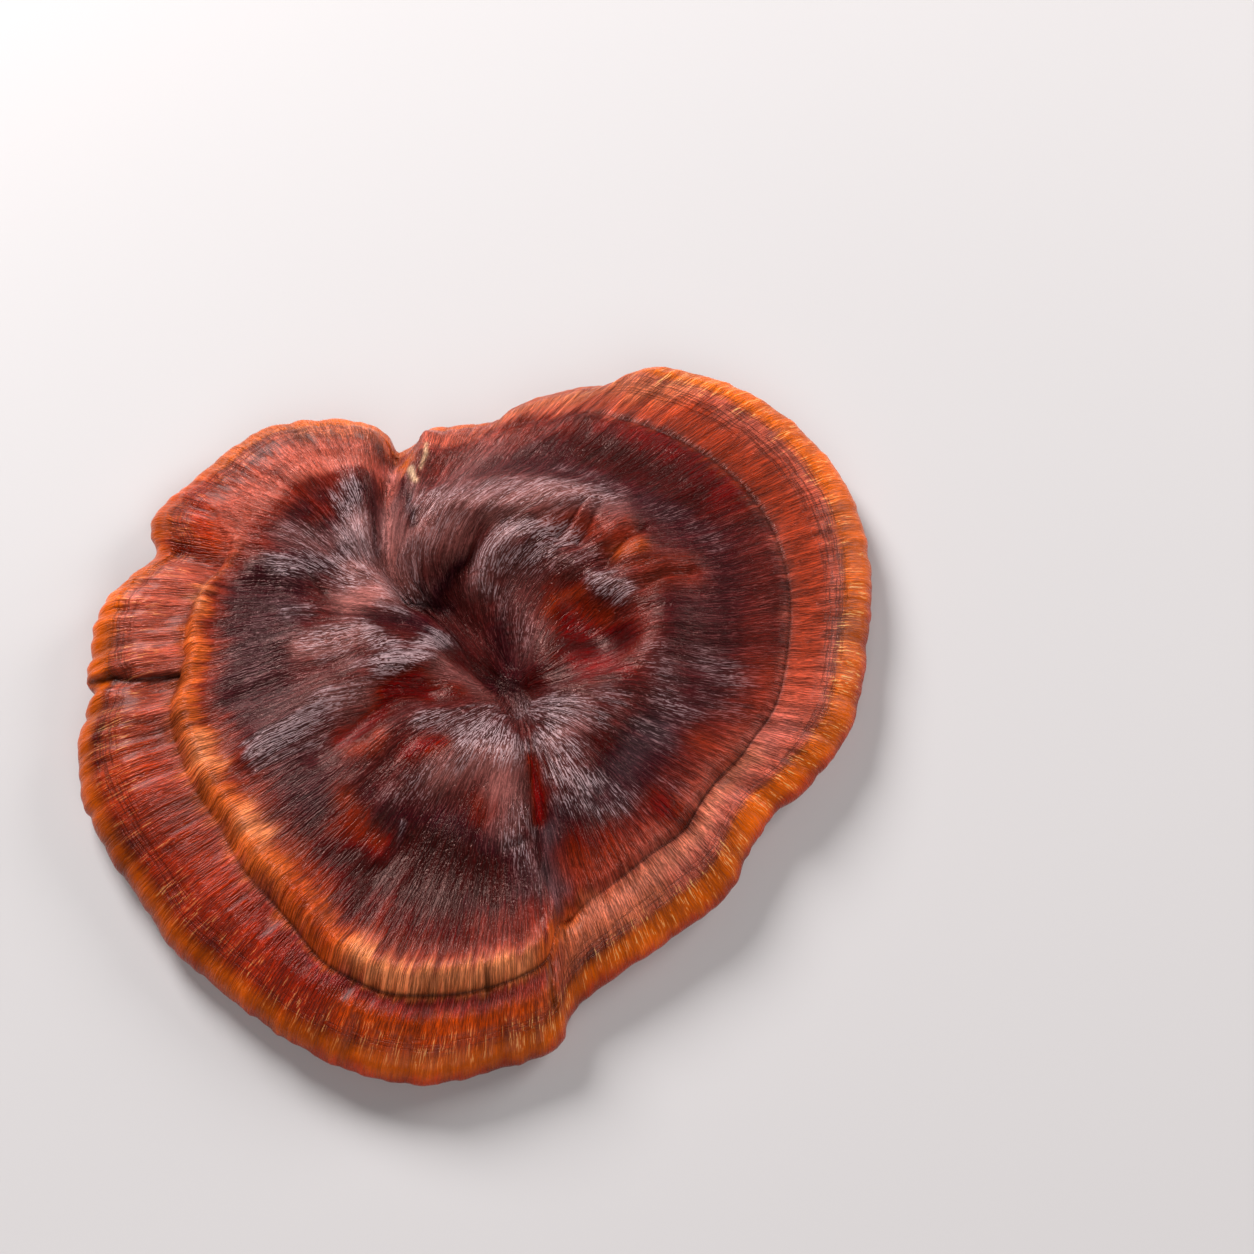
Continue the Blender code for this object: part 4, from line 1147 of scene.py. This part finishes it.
def strand_group():
    """Node group: hair-fine strands that run outward along the growth of the cap, as far apart everywhere."""
    group = bpy.data.node_groups.new("growth_strands", "ShaderNodeTree")
    for name in ("Growth", "Spread", "Ring", "Waver"):
        kind = "NodeSocketVector" if name == "Growth" else "NodeSocketFloat"
        group.interface.new_socket(name=name, in_out="INPUT", socket_type=kind)
    for name in ("Strand", "Fibre", "Gap", "Line"):
        group.interface.new_socket(name=name, in_out="OUTPUT", socket_type="NodeSocketFloat")
    given = group.nodes.new("NodeGroupInput")
    taken = group.nodes.new("NodeGroupOutput")
    cos, sin, run = split(group, given.outputs["Growth"])
    level = calc(group, "FLOOR", given.outputs["Spread"])
    share = ramp(group, calc(group, "FRACT", given.outputs["Spread"]), 0.1, 0.9)
    sway = add(group, "TexNoise", {"Vector": place_of(group), "Scale": 700.0, "Detail": 1.0}).outputs[1]
    sway = add(group, "VectorMath", {0: sway, 1: (0.5, 0.5, 0.5)}, operation="SUBTRACT").outputs[0]
    sway = [calc(group, "MULTIPLY", part, given.outputs["Waver"]) for part in split(group, sway)[:2]]
    angle = calc(group, "ARCTAN2", sin, cos)
    pairs = []
    for step in (0.0, 1.0):
        radius = calc(group, "POWER", 2.0, calc(group, "ADD", level, step - 0.1))
        x, y = (calc(group, "MULTIPLY_ADD", part, radius, shift) for part, shift in zip((cos, sin), sway))
        vector = add(group, "CombineXYZ", {0: x, 1: y, 2: calc(group, "MULTIPLY", run, 6.0)}).outputs[0]
        close = add(group, "VectorMath", {0: vector, 1: (5.5, 5.5, 6.0)}, operation="MULTIPLY").outputs[0]
        broad, fine = noise(group, vector, 1.0, 1.0), noise(group, close, 1.0, 1.0)
        count = calc(group, "MULTIPLY", calc(group, "POWER", 2.0, calc(group, "ADD", level, step)), 12.0)
        drift = calc(group, "MULTIPLY_ADD", broad, 20.0, calc(group, "MULTIPLY", fine, 5.0))
        wave = calc(group, "SINE", calc(group, "MULTIPLY_ADD", angle, count, drift))
        fine = calc(group, "MULTIPLY_ADD", wave, 0.09, fine)
        pairs.append((broad, fine))
    strand, fibre = (
        add(group, "Mix", {0: share, 2: near, 3: far}, data_type="FLOAT").outputs[0] for near, far in zip(*pairs)
    )
    scaled = ((cos, 9.0), (sin, 9.0), (given.outputs["Ring"], 170.0))
    scaled = {axis: calc(group, "MULTIPLY", *pair) for axis, pair in enumerate(scaled)}
    ringed = add(group, "CombineXYZ", scaled).outputs[0]
    middle = calc(group, "ABSOLUTE", calc(group, "SUBTRACT", strand, 0.45))
    gap = ramp(group, middle, 0.0, 0.06, 1.0, 0.0)
    results = {"Strand": strand, "Fibre": fibre, "Gap": gap, "Line": noise(group, ringed, 1.0, 1.0)}
    for name, value in results.items():
        put(group, taken.inputs[name], value)
    return group


def new_material(name):
    made = bpy.data.materials.new(name)
    made.use_nodes = True
    return made, made.node_tree, made.node_tree.nodes["Principled BSDF"]


def lacquer_material(settings, strands):
    """Top and margin: painted tint and shade, strands, painted pale sheen and glint ticks, and concentric lines
    under a thin lacquer.
    """
    made, tree, shader = new_material("lacquered_top")
    tint = layer(tree, "tint", "Color")
    frost_sheen, tick, line = split(tree, layer(tree, "finish"))
    ring, spread, _ = split(tree, layer(tree, "reach"))
    waver = ramp(tree, ring, 0.3, 0.8, 0.6, 0.2)
    inputs = {"Growth": layer(tree, "growth"), "Spread": spread, "Ring": ring, "Waver": waver}
    group = add(tree, "Group", inputs, node_tree=strands)
    strand, fibre, gap, lines = (group.outputs[name] for name in ("Strand", "Fibre", "Gap", "Line"))
    place = place_of(tree)
    dust = noise(tree, place, 2200.0, 2.0, 0.6)
    cloud = noise(tree, place, 160.0, 3.0, 0.55)
    calm = ramp(tree, ring, 0.96, 1.03)
    # Painted shade and highlight: lighter on the strands and fibres that the bump raises, darker in the gaps; the
    # cloud varies the tone.
    shade = ramp(tree, strand, 0.34, 0.66, 0.80, 1.16)
    shade = calc(tree, "MULTIPLY", shade, ramp(tree, fibre, 0.38, 0.64, 0.62, 1.32))
    shade = calc(tree, "MULTIPLY", shade, ramp(tree, gap, 0.0, 1.0, 1.0, 0.82))
    calmed = calc(tree, "MULTIPLY", calm, 0.6)
    shade = calc(tree, "MULTIPLY_ADD", calc(tree, "SUBTRACT", 1.0, shade), calmed, shade)
    shade = calc(tree, "MULTIPLY", shade, ramp(tree, cloud, 0.3, 0.7, 0.88, 1.12))
    colour = tone(tree, tint, shade)
    dark_line = calc(tree, "MULTIPLY", ramp(tree, lines, 0.50, 0.62), line)
    colour = blend(tree, calc(tree, "MULTIPLY", dark_line, 0.7), colour, tone(tree, tint, 0.30))
    # Pale hair-like strands: the lacquer's sheen, painted into the colour.
    cover = calc(tree, "MULTIPLY_ADD", frost_sheen, 0.22, calc(tree, "MULTIPLY_ADD", strand, 0.25, fibre))
    pale = calc(tree, "MULTIPLY", ramp(tree, cover, 0.72, 0.92), ramp(tree, frost_sheen, 0.05, 0.7, 0.0, 0.60))
    hair = blend(tree, ramp(tree, frost_sheen, 0.20, 0.50), (*settings.blush, 1.0), (*settings.frost_sheen, 1.0))
    colour = blend(tree, pale, colour, hair)
    # Pale ticks at the margin: painted glints on the tips of the fibres.
    tip = calc(tree, "MULTIPLY", ramp(tree, fibre, 0.57, 0.64), ramp(tree, strand, 0.46, 0.6))
    ticks = calc(tree, "MULTIPLY", tip, calc(tree, "MULTIPLY", tick, 0.8))
    colour = blend(tree, ticks, colour, (*settings.straw_glint, 1.0))
    rough = ramp(
        tree, fibre, 0.35, 0.65, settings.roughness + ROUGHNESS_SPAN, settings.roughness - ROUGHNESS_SPAN
    )
    shader.inputs["Specular IOR Level"].default_value = LACQUER_SPECULAR
    shader.inputs["Specular Tint"].default_value = LACQUER_TINT
    put(tree, shader.inputs["Coat Weight"], ramp(tree, ring, 0.78, 0.86, 0.0, COAT_WEIGHT))
    shader.inputs["Coat Roughness"].default_value = COAT_ROUGHNESS
    rise = calc(tree, "MULTIPLY_ADD", fibre, 0.45, calc(tree, "MULTIPLY", strand, 0.8))
    covered = calc(tree, "MAXIMUM", ramp(tree, frost_sheen, 0.1, 0.6, 0.30, 1.0), ramp(tree, ring, 0.60, 0.80))
    rise = calc(tree, "MULTIPLY", rise, calc(tree, "MULTIPLY", covered, ramp(tree, calm, 0.0, 1.0, 1.0, 0.3)))
    for part, weight in ((dust, 0.15), (dark_line, -0.4), (gap, -0.12)):
        rise = calc(tree, "MULTIPLY_ADD", part, weight, rise)
    dress(tree, shader, colour, rough, 1.0, LACQUER_BUMP, rise)
    return made


def pore_material(settings):
    """Underside: matt, pale, with close fine pores."""
    made, tree, shader = new_material("pore_face")
    place = place_of(tree)
    pores = add(tree, "TexVoronoi", {"Vector": place, "Scale": 2600.0}).outputs["Distance"]
    hole = ramp(tree, pores, 0.10, 0.38)
    cloud = noise(tree, place, 55.0, 4.0, 0.6)
    colour = blend(tree, ramp(tree, cloud, 0.35, 0.7), (*settings.pore, 1.0), (*settings.pore_stain, 1.0))
    # Painted shade: the colour darkens down into each pore.
    colour = tone(tree, colour, ramp(tree, hole, 0.0, 1.0, 0.55, 1.0))
    dress(tree, shader, colour, 0.8, 0.8, PORE_BUMP, hole)
    return made


def stem_material(settings):
    """Cut stem base: fibrous, brown, with faint rings round its middle."""
    made, tree, shader = new_material("cut_stem")
    place = place_of(tree)
    centre = [(STEM_CENTRE[axis] - CENTRE_OF_PLAN[axis]) * -MM for axis in (0, 1)]
    mapped = add(tree, "Mapping", {"Vector": place, "Location": (*centre, 0.0)}).outputs[0]
    length = add(tree, "VectorMath", {0: mapped}, operation="LENGTH").outputs["Value"]
    wave = noise(tree, add(tree, "CombineXYZ", {0: calc(tree, "MULTIPLY", length, 900.0)}).outputs[0], 1.0)
    fibres = noise(tree, place, 900.0, 3.0, 0.6)
    mask = calc(tree, "ADD", calc(tree, "MULTIPLY", wave, 0.5), calc(tree, "MULTIPLY", fibres, 0.5))
    colour = blend(tree, ramp(tree, mask, 0.35, 0.65), (*settings.wood, 1.0), (*settings.wood_dark, 1.0))
    dress(tree, shader, colour, 0.85, 0.7, STEM_BUMP, mask)
    return made


def plain_material(name, colour, roughness):
    made, tree, shader = new_material(name)
    cloud = noise(tree, place_of(tree), 3.0)
    put(tree, shader.inputs["Base Color"], tone(tree, tuple(colour), ramp(tree, cloud, 0.3, 0.7, 0.99, 1.01)))
    shader.inputs["Roughness"].default_value = roughness
    return made


# ---------------------------------------------------------------- settings


def linear(*values):
    """Linear colour from 8-bit screen values."""
    return tuple(value / 3294.6 if value <= 10 else ((value / 255 + 0.055) / 1.055) ** 2.4 for value in values)


def pigment(name, description, *values):
    return bpy.props.FloatVectorProperty(
        name=name, description=description, default=linear(*values), size=3, min=0.0, max=1.0, subtype="COLOR"
    )


class CapSettings(bpy.types.PropertyGroup):
    relief: bpy.props.FloatProperty(
        name="Relief", description="Depth of the folds and strands", default=1.0, min=0.0
    )
    roughness: bpy.props.FloatProperty(
        name="Roughness", description="Roughness of the lacquer", default=0.32, min=0.05, max=1.0, subtype="FACTOR"
    )
    maroon: pigment("Maroon", "Ground colour of the middle", 78, 28, 26)
    mahogany: pigment("Mahogany", "Red-brown inside the growth step", 108, 34, 26)
    garnet: pigment("Garnet", "Deep red-black of the hollows", 60, 14, 12)
    char: pigment("Char", "Near-black bands", 44, 15, 23)
    blood: pigment("Blood", "Bare deep red", 112, 24, 4)
    brick: pigment("Brick", "Brick red", 150, 50, 26)
    salmon: pigment("Salmon", "Outer zone", 184, 86, 68)
    ember: pigment("Ember", "Orange-red of the outer zone", 156, 50, 26)
    rust: pigment("Rust", "Dark orange of the near outer zone", 156, 46, 4)
    plum: pigment("Plum", "Purple-red below the growth step", 144, 42, 46)
    orange: pigment("Orange", "Ridge of the growth step", 216, 96, 36)
    amber: pigment("Amber", "Glossy margin", 214, 96, 18)
    umber: pigment("Umber", "Lower edge of the margin", 156, 48, 8)
    # Peach is painted light: highlights on the ridge and bright places on the outer zone.
    peach_highlight: pigment("Peach", "Bright places on the ridge", 240, 140, 88)
    rose: pigment("Rose", "Pinkish brown", 152, 92, 88)
    # Blush is the pink skin; it also tints the painted sheen strands, and is painted light on the outer zone and
    # where the crest lies in shade.
    blush: pigment("Blush", "Pink skin of the notch strip and the crest", 186, 112, 104)
    cream: pigment("Cream", "Torn flake of skin in the notch", 250, 200, 156)
    slate: pigment("Slate", "Blue-grey in the hook of the crease", 84, 66, 70)
    # The pale strand colour is the lacquer's sheen, painted.
    frost_sheen: pigment("Frost", "Pale strands", 206, 176, 180)
    # The colour of the painted glints at the margin.
    straw_glint: pigment("Straw", "Pale ticks at the margin", 240, 180, 110)
    pore: pigment("Pore", "Pore face", 196, 172, 138)
    pore_stain: pigment("Pore stain", "Stained parts of the pore face", 158, 120, 84)
    wood: pigment("Wood", "Cut stem", 150, 104, 66)
    wood_dark: pigment("Dark wood", "Rings of the cut stem", 96, 58, 36)


class StageSettings(bpy.types.PropertyGroup):
    floor_size: bpy.props.FloatProperty(
        name="Floor", description="Side of the floor", default=6.0, min=1.0, unit="LENGTH"
    )
    floor_colour: pigment("Floor colour", "Colour of the floor", 206, 201, 201)
    lens: bpy.props.FloatProperty(
        name="Lens", description="Focal length of the camera in millimetres", default=85.0, min=20.0
    )
    tilt: bpy.props.FloatProperty(
        name="Tilt", description="Angle of the camera from straight down", default=math.radians(28.0),
        subtype="ANGLE",
    )
    place: bpy.props.FloatVectorProperty(
        name="Camera place", description="Where the camera stands", default=(0.0306282, -0.2737068, 0.5552125),
        size=3, subtype="TRANSLATION", unit="LENGTH",
    )
    key_power: bpy.props.FloatProperty(
        name="Key light", description="Power of the light from the left", default=18.0, min=0.0, unit="POWER"
    )
    side_power: bpy.props.FloatProperty(
        name="Side light", description="Power of the weak light from the right", default=7.0, min=0.0, unit="POWER"
    )
    front_power: bpy.props.FloatProperty(
        name="Front light", description="Power of the soft light behind the camera", default=7.0, min=0.0,
        unit="POWER",
    )
    world_strength: bpy.props.FloatProperty(
        name="Surroundings", description="Brightness of the surroundings", default=0.08, min=0.0
    )


# ---------------------------------------------------------------- operators

# Lights: name, the setting that holds the power, size across, and place. They face the origin.
LIGHTS = (
    ("key_light", "key_power", 0.50, (-0.52, 0.82, 0.62)),
    ("side_light", "side_power", 0.60, (0.88, 0.50, 0.50)),
    ("front_light", "front_power", 1.00, (0.10, -1.00, 0.90)),
)


class MESH_OT_reishi_cap(bpy.types.Operator):
    """Add the dried reishi cap"""

    bl_idname = "mesh.reishi_cap"
    bl_label = "Reishi Cap"
    bl_options = {"REGISTER", "UNDO"}

    def execute(self, context):
        settings = context.scene.reishi_cap
        cap = build_cap(settings)
        cap.data.materials.append(lacquer_material(settings, strand_group()))
        cap.data.materials.append(pore_material(settings))
        cap.data.materials.append(stem_material(settings))
        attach(cap, "root")
        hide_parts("cap")
        return {"FINISHED"}


class SCENE_OT_reishi_stage(bpy.types.Operator):
    """Add the floor, the lights and the camera"""

    bl_idname = "scene.reishi_stage"
    bl_label = "Studio Stage"
    bl_options = {"REGISTER", "UNDO"}

    def execute(self, context):
        settings = context.scene.reishi_stage
        deselect()
        bpy.ops.mesh.primitive_plane_add(size=settings.floor_size, location=(0.0, 0.0, 0.0))
        floor = context.active_object
        floor.name = floor.data.name = "floor"
        floor.data.materials.append(plain_material("pale_floor", settings.floor_colour, 0.7))
        for name, power, size, place in LIGHTS:
            bpy.ops.object.light_add(type="AREA", location=place)
            light = context.active_object
            light.name = name
            light.data.shape = "DISK"
            light.data.size = size
            light.data.energy = getattr(settings, power)
            east, north, up = place
            turn = math.atan2(-north, -east) - math.pi / 2.0
            light.rotation_euler = (math.atan2(math.hypot(east, north), up), 0.0, turn)
        world = bpy.data.worlds.new("studio")
        world.use_nodes = True
        ground = world.node_tree.nodes["Background"]
        ground.inputs["Color"].default_value = (1.0, 1.0, 1.0, 1.0)
        ground.inputs["Strength"].default_value = settings.world_strength
        context.scene.world = world
        bpy.ops.object.camera_add(location=settings.place, rotation=(settings.tilt, 0.0, 0.0))
        camera = context.active_object
        camera.name = "camera"
        camera.data.lens = settings.lens
        camera.data.sensor_width = 36.0
        context.scene.camera = camera
        context.scene.view_settings.view_transform = "Standard"
        return {"FINISHED"}


class VIEW3D_PT_reishi(bpy.types.Panel):
    """Buttons and settings of the cap and its stage"""

    bl_label = "Reishi"
    bl_space_type = "VIEW_3D"
    bl_region_type = "UI"
    bl_category = "Reishi"

    def draw(self, context):
        for operator, settings in ((MESH_OT_reishi_cap, "reishi_cap"), (SCENE_OT_reishi_stage, "reishi_stage")):
            self.layout.operator(operator.bl_idname)
            group = getattr(context.scene, settings)
            for name in group.__annotations__:
                self.layout.prop(group, name)


CLASSES = (CapSettings, StageSettings, MESH_OT_reishi_cap, SCENE_OT_reishi_stage, VIEW3D_PT_reishi)


def register():
    for item in CLASSES:
        bpy.utils.register_class(item)
    bpy.types.Scene.reishi_cap = bpy.props.PointerProperty(type=CapSettings)
    bpy.types.Scene.reishi_stage = bpy.props.PointerProperty(type=StageSettings)


def unregister():
    del bpy.types.Scene.reishi_stage
    del bpy.types.Scene.reishi_cap
    for item in reversed(CLASSES):
        bpy.utils.unregister_class(item)


def main():
    register()
    bpy.ops.mesh.reishi_cap()
    bpy.ops.scene.reishi_stage()


if __name__ == "__main__":
    main()
